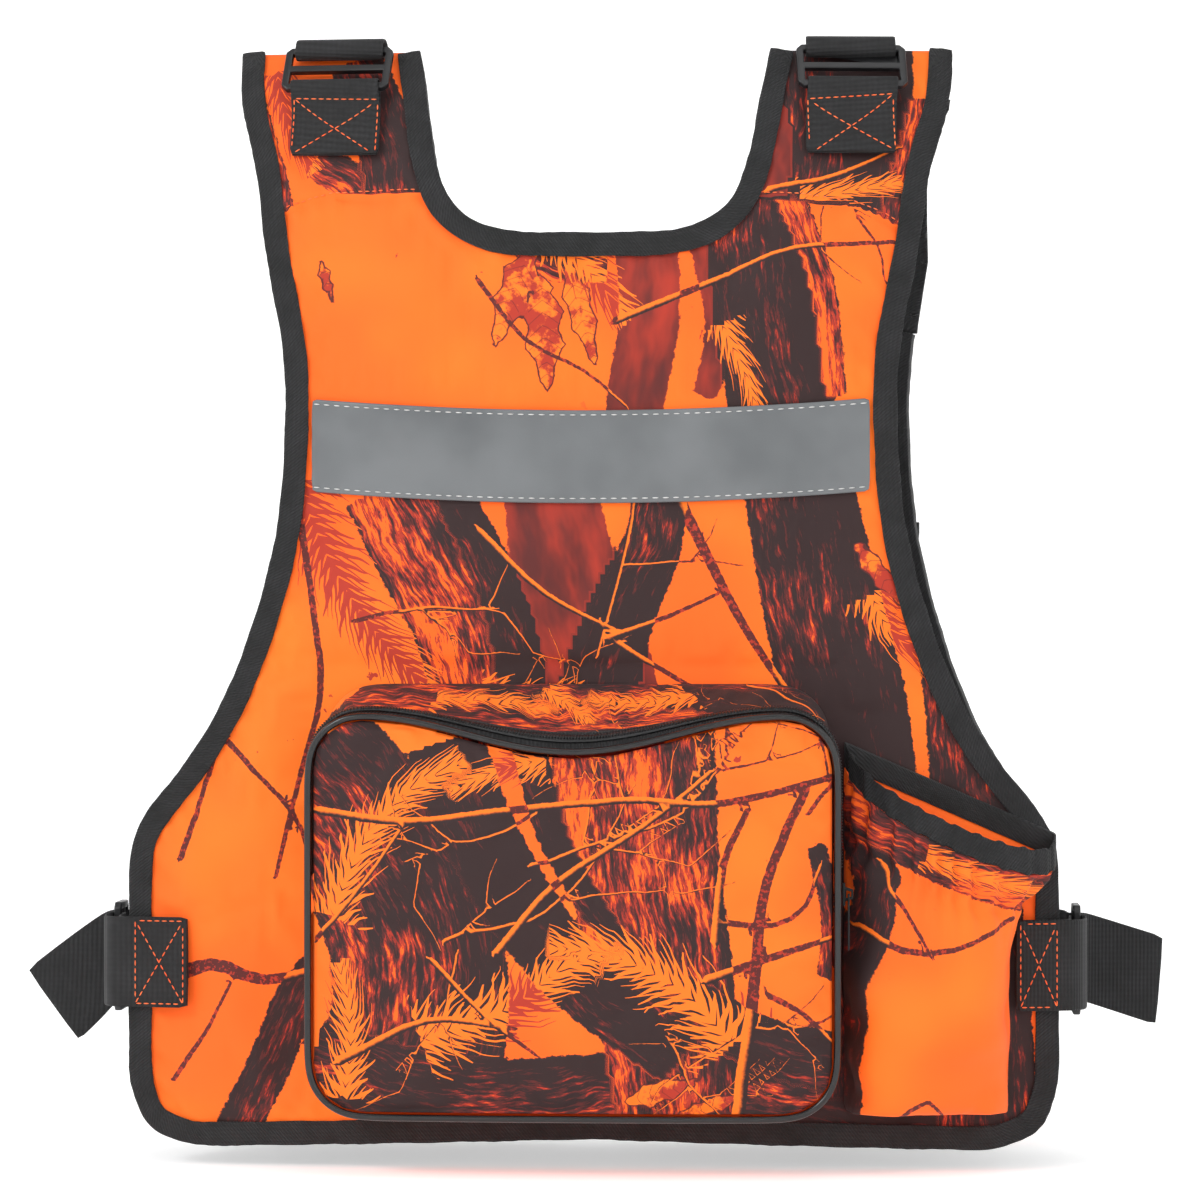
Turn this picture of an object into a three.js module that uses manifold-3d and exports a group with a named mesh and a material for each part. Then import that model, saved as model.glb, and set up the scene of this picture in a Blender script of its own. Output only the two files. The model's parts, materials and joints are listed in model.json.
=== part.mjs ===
// A blaze orange field vest hanging from the shoulders, front unzipped: a padded back panel with a
// zipped cargo pocket and a bottle pocket, two front panels that open like doors, and webbing with
// three-bar sliders that joins them over the shoulders and at the sides.
// Millimetres. X runs across the vest to the wearer's right, +Y to the wearer's front, +Z up.
// The origin lies between the shoulder straps, at the height of their ends.
import * as THREE from "three";
import Module from "manifold-3d";
import { mergeVertices } from "three/addons/utils/BufferGeometryUtils.js";

const wasm = await Module();
wasm.setup();
const V3 = THREE.Vector3;
const { lerp } = THREE.MathUtils;

// ---- Body of the vest
const LENGTH = 597; // shoulder end to hem
const HALF_WIDTH = 252; // at the sides
const SHOULDER_OUTER = 196; // half width over the shoulder straps
const NECK_TOP_HALF = 96;
const NECK_HALF = 78; // at the foot of the back neck
const NECK_DROP = 103;
const CHEST_HALF = 165; // between the armholes, back
const FRONT_CHEST_HALF = 173;
const CHEST_DROP = 205;
const UNDERARM_DROP = 424;
const HEM_CORNER = 36;
const HEM_LIFT = 7; // the hem is this much higher at its middle
const HALF_DEPTH = 70; // middle of the back panel to the plane of the shoulders
const SIDE_WRAP = 25; // how far the sides curve round the body
const ARCH_DROP = 150; // the shoulders curve forward above this
const ARCH_REACH = 56;

// ---- Layers and trims
const PAD = 5;
const FABRIC = 1;
const GAP = 0.4;
const BINDING_WIDTH = 13;
const BINDING_WALL = 1.2;
const BINDING_ROOM = 1.1;
const STRIP_WIDTH = 50;
const STRIP_DROP = 190;
const STRIP_SAG = 8;
const WEB_WIDTH = 49;
const WEB = 1.5;
const BAR = 4;
const SLOT_HEIGHT = 8.5;
const SLOT_PLAY = 1.5;

// ---- Back pocket and bottle pocket
const POCKET_WIDTH = 272;
const POCKET_HEIGHT = 230;
const POCKET_CENTRE_X = -7;
const POCKET_HEM_GAP = 22;
const POCKET_DEPTH = 40;
const POCKET_CORNER = 28;
const FACE_DROP = 16; // the face's top edge hangs lower than the pocket's seam on the back
const FACE_DIP = 20; // and this much more at its middle
const ZIP_TAPE = 10;
const PIPING = 4.5;
const BOTTLE_LEFT = POCKET_CENTRE_X + POCKET_WIDTH / 2 + 7; // beside the back pocket
const BOTTLE_RIGHT = HALF_WIDTH - 2; // its rim reaches the side
const BOTTLE_FOOT_RIGHT = HALF_WIDTH - 28; // and its body leaves room for the side strap
const BOTTLE_HEIGHT = 186; // foot to the rim's high corner
const BOTTLE_DEPTH = 46;
const BOTTLE_HEM_GAP = 22;
const BOTTLE_RIM_SLOPE = 0.44;
const BOTTLE_RIM_LEAN = 0.75; // and it is lower away from the back

// ---- Shoulders and sides
const SHOULDER_X = 140;
const BOX_TOP_DROP = 30;
const BOX_HEIGHT = 30;
const FRONT_SEWN_DROP = 74; // the front webbing is sewn down to here
const FRONT_TAIL_DROP = 106; // and its free end, back through the slider, reaches here
const SIDE_HEM_GAP = 100; // hem to the middle of the side straps
const SIDE_SEWN = 34; // width of the left side's box of stitches
const SIDE_STAND_OFF = 12;
const SLIDER_DROP = 15; // shoulder end to the middle of the shoulder slider

// ---- Fronts
const OPEN_HALF = 14; // half the gap between the two front edges
const FRONT_NECK_DROP = 226;
const YOKE_DROP = 150;
const FRONT_TOP_DROP = 14; // the front panels end lower than the back ones
const FRONT_POCKET_WIDTH = 134;
const FRONT_POCKET_HEIGHT = 134;
const FRONT_POCKET_DEPTH = 30;
const FRONT_POCKET_X = 128;
const FRONT_POCKET_HEM_GAP = 76;
const FLAP_DROP = 52;
const TEETH = 4;
const WAIST_WEB = 25;
const WAIST_HEM_GAP = 34;
const WAIST_X = 150;

const LAYERS = PAD / 2 + GAP + FABRIC; // middle of the pad to the face of the cloth
const FRONT_FACE = 2.9; // middle of the front panels to their face: they have no pad
const CREST = 1.2; // room under a flat strap where the panel curves
const BOUND = LAYERS + BINDING_ROOM + BINDING_WALL; // middle of the pad to the face of the binding

// ---- Solids
function solidOf(geometry) {
  const bare = geometry.index ? geometry.toNonIndexed() : geometry.clone();
  for (const name of Object.keys(bare.attributes)) if (name !== "position") bare.deleteAttribute(name);
  const merged = mergeVertices(bare, 1e-4);
  return new wasm.Manifold(
    new wasm.Mesh({
      numProp: 3,
      vertProperties: merged.attributes.position.array,
      triVerts: new Uint32Array(merged.index.array),
    }),
  );
}

function geometryOf(solid) {
  const mesh = solid.getMesh();
  return new THREE.BufferGeometry()
    .setAttribute("position", new THREE.BufferAttribute(mesh.vertProperties, 3))
    .setIndex(new THREE.BufferAttribute(mesh.triVerts, 1));
}

const join = (a, b) => geometryOf(solidOf(a).add(solidOf(b)));

function closedGeometry(points, triangles) {
  const volume = triangles.reduce(
    (sum, [a, b, c]) => sum + points[a].dot(new V3().crossVectors(points[b], points[c])),
    0,
  );
  const turned = volume < 0 ? triangles.map(([a, b, c]) => [a, c, b]) : triangles;
  return new THREE.BufferGeometry()
    .setAttribute("position", new THREE.Float32BufferAttribute(points.flatMap((p) => p.toArray()), 3))
    .setIndex(turned.flat());
}

// A solid swept through stations: place(station, u, v) puts a point of the profile in space.
function sweep(profile, stations, place, closed = false) {
  const size = profile.length;
  const points = stations.flatMap((s) => profile.map(([u, v]) => place(s, u, v)));
  const triangles = [];
  const spans = closed ? stations.length : stations.length - 1;
  for (let i = 0; i < spans; i++) {
    for (let j = 0; j < size; j++) {
      const [a, b] = [i * size + j, i * size + ((j + 1) % size)];
      const next = ((i + 1) % stations.length) * size;
      const [c, d] = [next + ((j + 1) % size), next + j];
      triangles.push([a, b, c], [a, c, d]);
    }
  }
  if (!closed) {
    const flat = profile.map(([u, v]) => new THREE.Vector2(u, v));
    const cap = THREE.ShapeUtils.triangulateShape(flat, []);
    const turn = THREE.ShapeUtils.isClockWise(flat) ? 1 : -1;
    const last = (stations.length - 1) * size;
    for (const [a, b, c] of cap) {
      const first = turn < 0 ? [a, c, b] : [a, b, c];
      const end = turn < 0 ? [a, b, c] : [a, c, b];
      const capA = orientCap(first, size, triangles);
      triangles.push(capA ? first : [first[0], first[2], first[1]]);
      triangles.push((capA ? end : [end[0], end[2], end[1]]).map((k) => k + last));
    }
  }
  return closedGeometry(points, triangles);
}

// True if a cap triangle's edge runs against the side wall that shares it.
function orientCap([a, b, c], size, triangles) {
  for (const [from, to] of [[a, b], [b, c], [c, a]]) {
    if ((from + 1) % size === to || (to + 1) % size === from) {
      return !triangles.some((t) => [0, 1, 2].some((k) => t[k] === from && t[(k + 1) % 3] === to));
    }
  }
  return true;
}

const RECTANGLE = [[-1, -1], [1, -1], [1, 1], [-1, 1]];

// Webbing along a path. stations: {at, across}, across being the unit vector over its width.
function webbing(stations, width, thickness = WEB) {
  const last = stations.length - 1;
  const placed = stations.map(({ at, across }, i) => {
    const along = new V3().subVectors(stations[Math.min(i + 1, last)].at, stations[Math.max(i - 1, 0)].at);
    return { at, across, out: new V3().crossVectors(along, across).normalize() };
  });
  return sweep(RECTANGLE, placed, ({ at, across, out }, u, v) =>
    at.clone().addScaledVector(across, (u * width) / 2).addScaledVector(out, (v * thickness) / 2),
  );
}

// ---- The two curved sides of the vest, back (-1) and front (+1)
class Side {
  constructor(sign) {
    this.sign = sign;
  }
  arch(z) {
    return z > -ARCH_DROP ? ARCH_REACH * ((z + ARCH_DROP) / ARCH_DROP) ** 2 : 0;
  }
  depth(x, z) {
    return HALF_DEPTH - SIDE_WRAP * (x / HALF_WIDTH) ** 2 - this.arch(z);
  }
  normal(x, z) {
    const fall = z > -ARCH_DROP ? (2 * ARCH_REACH * (z + ARCH_DROP)) / ARCH_DROP ** 2 : 0;
    return new V3((2 * SIDE_WRAP * x) / HALF_WIDTH ** 2, this.sign, fall).normalize();
  }
  at(x, z, lift = 0) {
    return new V3(x, this.sign * this.depth(x, z), z).addScaledVector(this.normal(x, z), lift);
  }
  // unit vector across the vest, along the cloth
  across(x) {
    return new V3(1, (-this.sign * 2 * SIDE_WRAP * x) / HALF_WIDTH ** 2, 0).normalize();
  }
}
const BACK = new Side(-1);
const FRONT = new Side(1);

// ---- Flat outlines, as lists of [x, z]
const curve = (points, step) => {
  const path = new THREE.CatmullRomCurve3(points.map(([x, z]) => new V3(x, 0, z)), false, "centripetal");
  return path.getSpacedPoints(Math.max(2, Math.round(path.getLength() / step))).map((p) => [p.x, p.z]);
};
const straight = (from, to, step) => {
  const count = Math.max(1, Math.round(Math.hypot(to[0] - from[0], to[1] - from[1]) / step));
  return Array.from({ length: count + 1 }, (_, i) => [0, 1].map((k) => lerp(from[k], to[k], i / count)));
};
const chain = (...parts) => parts.flatMap((part, i) => (i ? part.slice(1) : part));
const mirrored = (points) => points.map(([x, z]) => [-x, z]).reverse();
const STEP = 22;
const COLUMN = HALF_WIDTH / 5.2;
const COLUMNS = 6;
const ROWS = 6;
const ROW = (0.93 * ARCH_DROP) / ROWS;

// The armhole, side and hem of the right half, from the shoulder end to the middle of the hem.
function sideEdge(chest, hemEnd) {
  const armhole = curve(
    [
      [SHOULDER_OUTER, 0],
      [SHOULDER_OUTER - 2, -32],
      [SHOULDER_OUTER - 12, -62],
      [chest + 11, -0.56 * CHEST_DROP],
      [chest + 1, -0.8 * CHEST_DROP],
      [chest, -CHEST_DROP],
      [chest + 6, -CHEST_DROP - 65],
      [lerp(chest, HALF_WIDTH, 0.38), -UNDERARM_DROP + 72],
      [HALF_WIDTH - 27, -UNDERARM_DROP + 29],
      [HALF_WIDTH - 3, -UNDERARM_DROP],
      [HALF_WIDTH, -UNDERARM_DROP - 26],
    ],
    STEP,
  );
  const foot = curve(
    [
      [HALF_WIDTH, -LENGTH + HEM_CORNER],
      [HALF_WIDTH - 0.29 * HEM_CORNER, -LENGTH + 0.29 * HEM_CORNER],
      [HALF_WIDTH - HEM_CORNER, -LENGTH],
    ],
    STEP / 2,
  );
  const side = straight(armhole.at(-1), foot[0], STEP);
  const hem = straight(foot.at(-1), [hemEnd, -LENGTH + HEM_LIFT * (1 - hemEnd / HALF_WIDTH)], STEP);
  return chain(armhole, side, foot, hem);
}
const BACK_EDGE = (() => {
  const half = sideEdge(CHEST_HALF, 0);
  return chain(half, mirrored(half));
})();
const NECK_EDGE = (() => {
  const half = curve(
    [
      [0, -NECK_DROP],
      [NECK_HALF - 24, -NECK_DROP + 3],
      [NECK_HALF - 3, -NECK_DROP + 16],
      [NECK_HALF + 6, -NECK_DROP + 38],
      [NECK_TOP_HALF - 5, -26],
      [NECK_TOP_HALF, 0],
    ],
    STEP / 1.5,
  );
  return chain(mirrored(half), half);
})();

// Offsets an outline to its left by a distance; ends keep their own direction.
function inset(points, distance, closed = false) {
  const count = points.length;
  return points.map(([x, z], i) => {
    const before = points[closed ? (i + count - 1) % count : Math.max(i - 1, 0)];
    const after = points[closed ? (i + 1) % count : Math.min(i + 1, count - 1)];
    const [dx, dz] = [after[0] - before[0], after[1] - before[1]];
    const size = Math.hypot(dx, dz);
    return [x - (dz / size) * distance, z + (dx / size) * distance];
  });
}

const shapeOf = (points) => new THREE.Shape(points.map(([x, z]) => new THREE.Vector2(x, z)));

// The point where the line from one point to another meets a limit on one axis (0 is x, 1 is z).
function crossing(from, to, axis, limit) {
  const share = (limit - from[axis]) / (to[axis] - from[axis]);
  const met = [0, 1].map((k) => from[k] + (to[k] - from[k]) * share);
  met[axis] = limit;
  return met;
}

// Adds a point to an outline wherever it meets one of the lines across an axis.
function notch(points, axis, limits) {
  return points.flatMap((point, i) => {
    const next = points[(i + 1) % points.length];
    const between = limits.filter((limit) => (point[axis] - limit) * (next[axis] - limit) < 0);
    between.sort((a, b) => (a - b) * (next[axis] - point[axis]));
    return [point, ...between.map((limit) => crossing(point, next, axis, limit))];
  });
}

// Keeps the part of an outline beyond a line across one axis.
function clip(points, axis, limit, above) {
  const inside = (p) => (above ? p[axis] >= limit : p[axis] <= limit);
  return points.flatMap((point, i) => {
    const next = points[(i + 1) % points.length];
    const kept = inside(point) ? [point] : [];
    if (inside(point) !== inside(next)) {
      kept.push(crossing(point, next, axis, limit));
    }
    return kept;
  });
}

// A layer of cloth cut to an outline and laid on one side of the vest, from one lift to another. It is
// cut into columns, and into rows where the shoulders curve, so that its flat facets follow the curve.
function layer(outline, side, low, high) {
  const columns = Array.from({ length: 2 * COLUMNS + 1 }, (_, i) => (i - COLUMNS) * COLUMN);
  const rows = [-LENGTH - 10, ...Array.from({ length: ROWS }, (_, i) => (i - ROWS) * ROW)];
  const notched = notch(notch(outline, 0, columns), 1, rows);
  const flat = [];
  columns.slice(0, -1).forEach((x, k) => {
    const column = clip(clip(notched, 0, x, true), 0, columns[k + 1], false);
    rows.forEach((z, i) => {
      const cell = clip(clip(column, 1, z, true), 1, rows[i + 1] ?? 10, false);
      const corners = cell.map(([a, b]) => new THREE.Vector2(a, b));
      if (cell.length < 3 || Math.abs(THREE.ShapeUtils.area(corners)) < 1e-3) return;
      for (const face of THREE.ShapeUtils.triangulateShape(corners, []))
        for (const k of face) flat.push(cell[k][0], cell[k][1], 0);
    });
  });
  const cut = new THREE.BufferGeometry().setAttribute("position", new THREE.Float32BufferAttribute(flat, 3));
  const fine = mergeVertices(cut, 1e-3);
  const place = fine.attributes.position;
  const count = place.count;
  const points = [];
  for (const lift of [high, low])
    for (let i = 0; i < count; i++) points.push(side.at(place.getX(i), place.getY(i), lift));
  const triangles = [];
  const edges = new Set();
  const index = fine.index.array;
  for (let i = 0; i < index.length; i += 3) {
    const [a, b, c] = [index[i], index[i + 1], index[i + 2]];
    if (a === b || b === c || a === c) continue;
    triangles.push([a, b, c], [c + count, b + count, a + count]);
    for (const [from, to] of [[a, b], [b, c], [c, a]]) edges.add(from + "," + to);
  }
  for (const edge of edges) {
    const [from, to] = edge.split(",").map(Number);
    if (edges.has(to + "," + from)) continue;
    triangles.push([to, from, from + count], [to, from + count, to + count]);
  }
  return closedGeometry(points, triangles);
}

// Twill tape folded over an edge: the outline's left is the cloth.
function binding(outline, side, closed = false) {
  const [face, room, fold] = [BOUND, BOUND - BINDING_WALL, BINDING_WIDTH];
  const profile = [
    [0, -face], [fold, -face], [fold, -room], [BINDING_WALL, -room],
    [BINDING_WALL, room], [fold, room], [fold, face], [0, face],
  ];
  const lines = new Map(profile.map(([u]) => [u, inset(outline, u, closed)]));
  return sweep(profile, [...outline.keys()], (i, u, v) => side.at(...lines.get(u)[i], v), closed);
}

const EDGE_INSET = BINDING_WALL + 2 * GAP;
const group = new THREE.Group();
const COLOURS = {
  blaze: { color: 0xff6a1f, roughness: 0.75, metalness: 0 },
  camo: { color: 0x8a2a16, roughness: 0.75, metalness: 0 },
  foam: { color: 0xd8d4cc, roughness: 0.95, metalness: 0 },
  mesh: { color: 0x2b2b2d, roughness: 0.95, metalness: 0 },
  twill: { color: 0x161616, roughness: 0.85, metalness: 0 },
  web: { color: 0x1b1b1b, roughness: 0.8, metalness: 0 },
  silver: { color: 0x8c9095, roughness: 0.35, metalness: 0.2 },
  plastic: { color: 0x0f0f10, roughness: 0.4, metalness: 0 },
  coil: { color: 0x121212, roughness: 0.45, metalness: 0 },
  vinyl: { color: 0x101010, roughness: 0.3, metalness: 0 },
};
function add(name, geometry, colour) {
  const mesh = new THREE.Mesh(geometry, new THREE.MeshStandardMaterial(COLOURS[colour]));
  mesh.name = name;
  group.add(mesh);
  return mesh;
}

// ---- Back panel: pad between outer cloth and mesh lining, bound all round but at the shoulder ends
const backEdge = inset(BACK_EDGE.slice().reverse(), EDGE_INSET); // left shoulder, hem, right shoulder
const neckEdge = inset(NECK_EDGE.slice().reverse(), EDGE_INSET);
const backCut = [...backEdge, ...neckEdge];
add("back_pad", layer(backCut, BACK, -PAD / 2, PAD / 2), "foam");
add("back_shell", layer(backCut, BACK, PAD / 2 + GAP, LAYERS), "blaze");
add("back_lining", layer(backCut, BACK, -LAYERS, -PAD / 2 - GAP), "mesh");
add("back_edge_binding", binding(BACK_EDGE.slice().reverse(), BACK), "twill");
add("back_neck_binding", binding(NECK_EDGE.slice().reverse(), BACK), "twill");

// A reflective strip sags a little at its middle. Its ends may slant: x at the top and at the foot.
function strip(side, base, from, to, middle) {
  const stations = straight([from[0], 0], [to[0], 0], STEP).map(([x]) => (x - from[0]) / (to[0] - from[0]));
  const sag = (x) => STRIP_SAG * (1 - (x / CHEST_HALF) ** 2);
  const low = base + CREST;
  return sweep([[0, 0], [1, 0], [1, 1], [0, 1]], stations, (share, u, v) => {
    const x = lerp(lerp(from[0], from[1], u), lerp(to[0], to[1], u), share);
    return side.at(x, middle - sag(x) + STRIP_WIDTH * (0.5 - u), low + FABRIC * v);
  });
}
const stripMiddle = -STRIP_DROP - STRIP_WIDTH / 2;
const stripHalf = CHEST_HALF - BINDING_WIDTH - 2;
add(
  "back_reflective_strip",
  strip(BACK, LAYERS, [-stripHalf, -stripHalf], [stripHalf, stripHalf], stripMiddle),
  "silver",
);

// ---- Back pocket
const SIDE_POINTS = 8;
const pocketBottom = -LENGTH + POCKET_HEM_GAP;
const pocketMiddle = pocketBottom + POCKET_HEIGHT / 2;
const [pocketLeft, pocketRight] = [-1, 1].map((s) => POCKET_CENTRE_X + (s * POCKET_WIDTH) / 2);

// The upright sides keep one number of points, whatever the drop of the top.
const evenly = (from, to) => straight(from, to, Math.abs(to[1] - from[1]) / SIDE_POINTS);
// The pocket's outline, anticlockwise from the middle of its foot. Its top may hang lower by a drop,
// and by a dip more at its middle.
function pocketOutline(drop, dip) {
  const [left, right, r] = [pocketLeft, pocketRight, POCKET_CORNER];
  const [low, high] = [pocketBottom, pocketBottom + POCKET_HEIGHT - drop];
  const corner = (cx, cz, start) =>
    [0, 1, 2, 3, 4].map((k) => {
      const a = start + (k * Math.PI) / 8;
      return [cx + r * Math.cos(a), cz + r * Math.sin(a)];
    });
  const top = straight([right - r, high], [left + r, high], STEP).map(([x, z]) => {
    const share = (x - left - r) / (right - left - 2 * r);
    return [x, z - dip * Math.sin(Math.PI * share) ** 2];
  });
  return chain(
    straight([POCKET_CENTRE_X, low], [right - r, low], STEP),
    corner(right - r, low + r, -Math.PI / 2),
    evenly([right, low + r], [right, high - r]),
    corner(right - r, high - r, 0),
    top,
    corner(left + r, high - r, Math.PI / 2),
    evenly([left, high - r], [left, low + r]),
    corner(left + r, low + r, Math.PI),
    straight([left + r, low], [POCKET_CENTRE_X, low], STEP).slice(0, -1),
  );
}
const pocketBase = pocketOutline(0, 0);
const pocketFace = pocketOutline(FACE_DROP, FACE_DIP);
const pocketBaseInner = inset(pocketBase, FABRIC, true);
const pocketFaceInner = inset(pocketFace, FABRIC, true);
const pocketFoot = LAYERS + CREST;
const pocketTop = pocketFoot + POCKET_DEPTH;

// A band of the pocket's wall, from share t0 to t1 of its depth, along some of its outline's points.
function pocketWall(indexes, t0, t1, closed = false, thick = FABRIC, out = 0) {
  const scale = thick / FABRIC;
  const place = (i, t, s) => {
    const outer = [0, 1].map((k) => lerp(pocketBase[i][k], pocketFace[i][k], t));
    const inner = [0, 1].map((k) => lerp(pocketBaseInner[i][k], pocketFaceInner[i][k], t));
    const [x, z] = [0, 1].map((k) => lerp(outer[k], inner[k], s * scale - out));
    return BACK.at(x, z, lerp(pocketFoot, pocketTop, t));
  };
  return sweep([[t0, 0], [t1, 0], [t1, 1], [t0, 1]], indexes, place, closed);
}
const onPocket = [...pocketBase.keys()];
const zipEnds = pocketMiddle - 4;
const rightTurn = onPocket.find((i) => pocketBase[i][0] > pocketRight - 1 && pocketBase[i][1] > zipEnds);
const leftTurn = onPocket.findLast((i) => pocketBase[i][0] < pocketLeft + 1 && pocketBase[i][1] > zipEnds);
const upper = onPocket.slice(rightTurn, leftTurn + 1);
const lowerRight = onPocket.slice(0, rightTurn + 1);
const lower = [...onPocket.slice(leftTurn), ...lowerRight];
const zipShare = 1 - (ZIP_TAPE + 2) / POCKET_DEPTH;
const seam = GAP / POCKET_DEPTH;
add("back_pocket_gusset", pocketWall(onPocket, 0, zipShare, true), "camo");
add("back_pocket_lower_wall", pocketWall(lower, zipShare + seam, 1 - seam), "camo");
const zipRun = upper.slice(1, -1);
add("back_pocket_zip_tape", pocketWall(zipRun, zipShare + seam, 1 - seam), "twill");
const COIL = 3; // width of the zip's teeth
const COIL_OUT = 1.6; // and how far they stand out
const coilShare = zipShare + 0.4 * (1 - zipShare);
add(
  "back_pocket_zip_coil",
  pocketWall(zipRun, coilShare, coilShare + COIL / POCKET_DEPTH, false, COIL_OUT, COIL_OUT + 2 * GAP),
  "coil",
);
const faceCut = inset(pocketFace, PIPING / 2 + 2 * GAP, true);
add("back_pocket_face", layer(faceCut, BACK, pocketTop + GAP, pocketTop + GAP + FABRIC), "camo");
const HEXAGON = [0, 1, 2, 3, 4, 5].map((k) => [Math.cos((k * Math.PI) / 3), Math.sin((k * Math.PI) / 3)]);
const PIPE_INWARD = 0.2; // its middle line lies this share of the cloth's thickness inside the face's edge
add(
  "back_pocket_piping",
  sweep(
    HEXAGON,
    [...pocketFace.keys()],
    (i, u, v) => {
      const share = PIPE_INWARD - (u * PIPING) / 2 / FABRIC;
      const [x, z] = [0, 1].map((k) => lerp(pocketFace[i][k], pocketFaceInner[i][k], share));
      return BACK.at(x, z, pocketTop + GAP + (PIPING * (1 + v)) / 2);
    },
    true,
  ),
  "vinyl",
);

// Cloth tabs that cover the two ends of the zip.
const TAB_LENGTH = 26;
const TAB_WALL = 1.2;
const tabTop = zipEnds - 14;
for (const [name, x] of [["left", pocketLeft], ["right", pocketRight]]) {
  const side = Math.sign(x - POCKET_CENTRE_X);
  const low = pocketFoot + POCKET_DEPTH * zipShare - 2;
  const profile = [[low, 0], [pocketTop - 1, 0], [pocketTop - 1, 1], [low, 1]];
  const cover = (z, lift, s) => BACK.at(x + side * (GAP + s * TAB_WALL), z, lift);
  add("back_pocket_zip_tab_" + name, sweep(profile, [tabTop - TAB_LENGTH, tabTop], cover), "twill");
}

// ---- Zip slider of the back pocket, on the straight run at the pocket's right, and its pull
const sliderZ = zipEnds + 8;
const coilAt = BACK.at(pocketRight, sliderZ, lerp(pocketFoot, pocketTop, coilShare + 1.5 / POCKET_DEPTH));
const SLIDER_OFF = COIL_OUT + 2 * GAP + 0.6;
function loopBail(reach, wide) {
  const outer = shapeOf([[0, -4], [reach, -2.5], [reach, 2.5], [0, 4]]);
  outer.holes.push(shapeOf([[0.9, -2], [reach - 1.1, -1.3], [reach - 1.1, 1.3], [0.9, 2]]));
  return new THREE.ExtrudeGeometry(outer, { depth: wide, bevelEnabled: false }).translate(0, 0, -wide / 2);
}
// A slider's body in its own frame: X out of the tape, Z along it.
const sliderPlate = (wide, long) => {
  const tongue = [[-wide / 2, long / 2], [-wide / 3, -long / 2], [wide / 3, -long / 2], [wide / 2, long / 2]];
  const flat = new THREE.Shape(tongue.map((p) => new THREE.Vector2(...p)));
  return new THREE.ExtrudeGeometry(flat, { depth: PLATE, bevelEnabled: false })
    .rotateX(Math.PI / 2)
    .rotateZ(Math.PI / 2);
};
const BAIL_REACH = 4.6;
const BAIL_SUNK = 0.4; // the bail's feet run into the plate
const PULL_OUT = 2.2; // bail's feet to the middle of the pull
const PULL_DOWN = 3.8; // middle of the bail to the eye of the pull
const [SLIDER_W, SLIDER_H, PLATE] = [8, 12, 1.6];
const bodyWithBail = () => {
  const plate = sliderPlate(SLIDER_W, SLIDER_H);
  plate.computeBoundingBox();
  const { min, max } = plate.boundingBox;
  plate.translate(-min.x, -(min.y + max.y) / 2, -(min.z + max.z) / 2);
  const bail = loopBail(BAIL_REACH, PLATE).rotateX(Math.PI / 2).translate(PLATE - BAIL_SUNK, 0, 0);
  return join(plate, bail);
};
const backSlider = add("back_pocket_zip_slider", bodyWithBail(), "plastic");
backSlider.position.set(coilAt.x + SLIDER_OFF, coilAt.y, sliderZ);
const PULL_WALL = 1.2;
// A pull hangs from the bail: a flat tongue with an eye, hanging down its own -Z from the eye.
function pull(wide, long) {
  const half = wide / 2;
  const outline = new THREE.Shape().moveTo(half, 4).lineTo(-half, 4).lineTo(-half * 0.8, -long + 6);
  outline.lineTo(-half * 0.5, -long + 4).lineTo(half * 0.5, -long + 4).lineTo(half * 0.8, -long + 6);
  outline.holes.push(shapeOf([[-1.4, -0.4], [-1.4, 2.4], [1.4, 2.4], [1.4, -0.4]]));
  return new THREE.ExtrudeGeometry(outline, { depth: PULL_WALL, bevelEnabled: false })
    .rotateX(Math.PI / 2)
    .rotateZ(Math.PI / 2);
}
const backPull = add("back_pocket_zip_pull", pull(6, 30), "plastic");
const pullX = coilAt.x + SLIDER_OFF + PLATE - BAIL_SUNK + PULL_OUT;
backPull.position.set(pullX - PULL_WALL / 2, coilAt.y, sliderZ - PULL_DOWN);

// ---- Bottle pocket: an open tube, flat against the back panel, with a rim that slopes down outwards
const bottleFoot = -LENGTH + BOTTLE_HEM_GAP;
const bottleRim = bottleFoot + BOTTLE_HEIGHT;
// its right side starts to widen above the side strap, at this share of its height there
const rimDrop = BOTTLE_RIM_SLOPE * (BOTTLE_FOOT_RIGHT - BOTTLE_LEFT);
const BOTTLE_FLARE = (SIDE_HEM_GAP + WEB_WIDTH / 2 + 5 - BOTTLE_HEM_GAP) / (BOTTLE_HEIGHT - rimDrop);
const AROUND = 20;
// k runs round the mouth, share from foot to rim, thin takes the wall inwards. The half of the tube
// that lies on the back panel is flat and rests on the panel's binding.
function bottlePoint(k, share, thin = 0) {
  const flare = Math.max(0, (share - BOTTLE_FLARE) / (1 - BOTTLE_FLARE));
  const right = lerp(BOTTLE_FOOT_RIGHT, BOTTLE_RIGHT, flare) - thin;
  const left = BOTTLE_LEFT + thin;
  const a = (k / AROUND) * 2 * Math.PI;
  const x = lerp(left, right, 0.5 + 0.5 * Math.cos(a));
  const belly = BOTTLE_DEPTH * (0.62 + 0.38 * Math.sin(Math.PI * Math.min(1, share + 0.12)));
  const out = a < Math.PI ? thin + (belly - 2 * thin) * Math.max(0, Math.sin(a)) ** 0.8 : thin;
  const rim = bottleRim - BOTTLE_RIM_SLOPE * (x - BOTTLE_LEFT) - BOTTLE_RIM_LEAN * out;
  return BACK.at(x, lerp(bottleFoot + thin, rim, share), BOUND + GAP + out);
}
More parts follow.
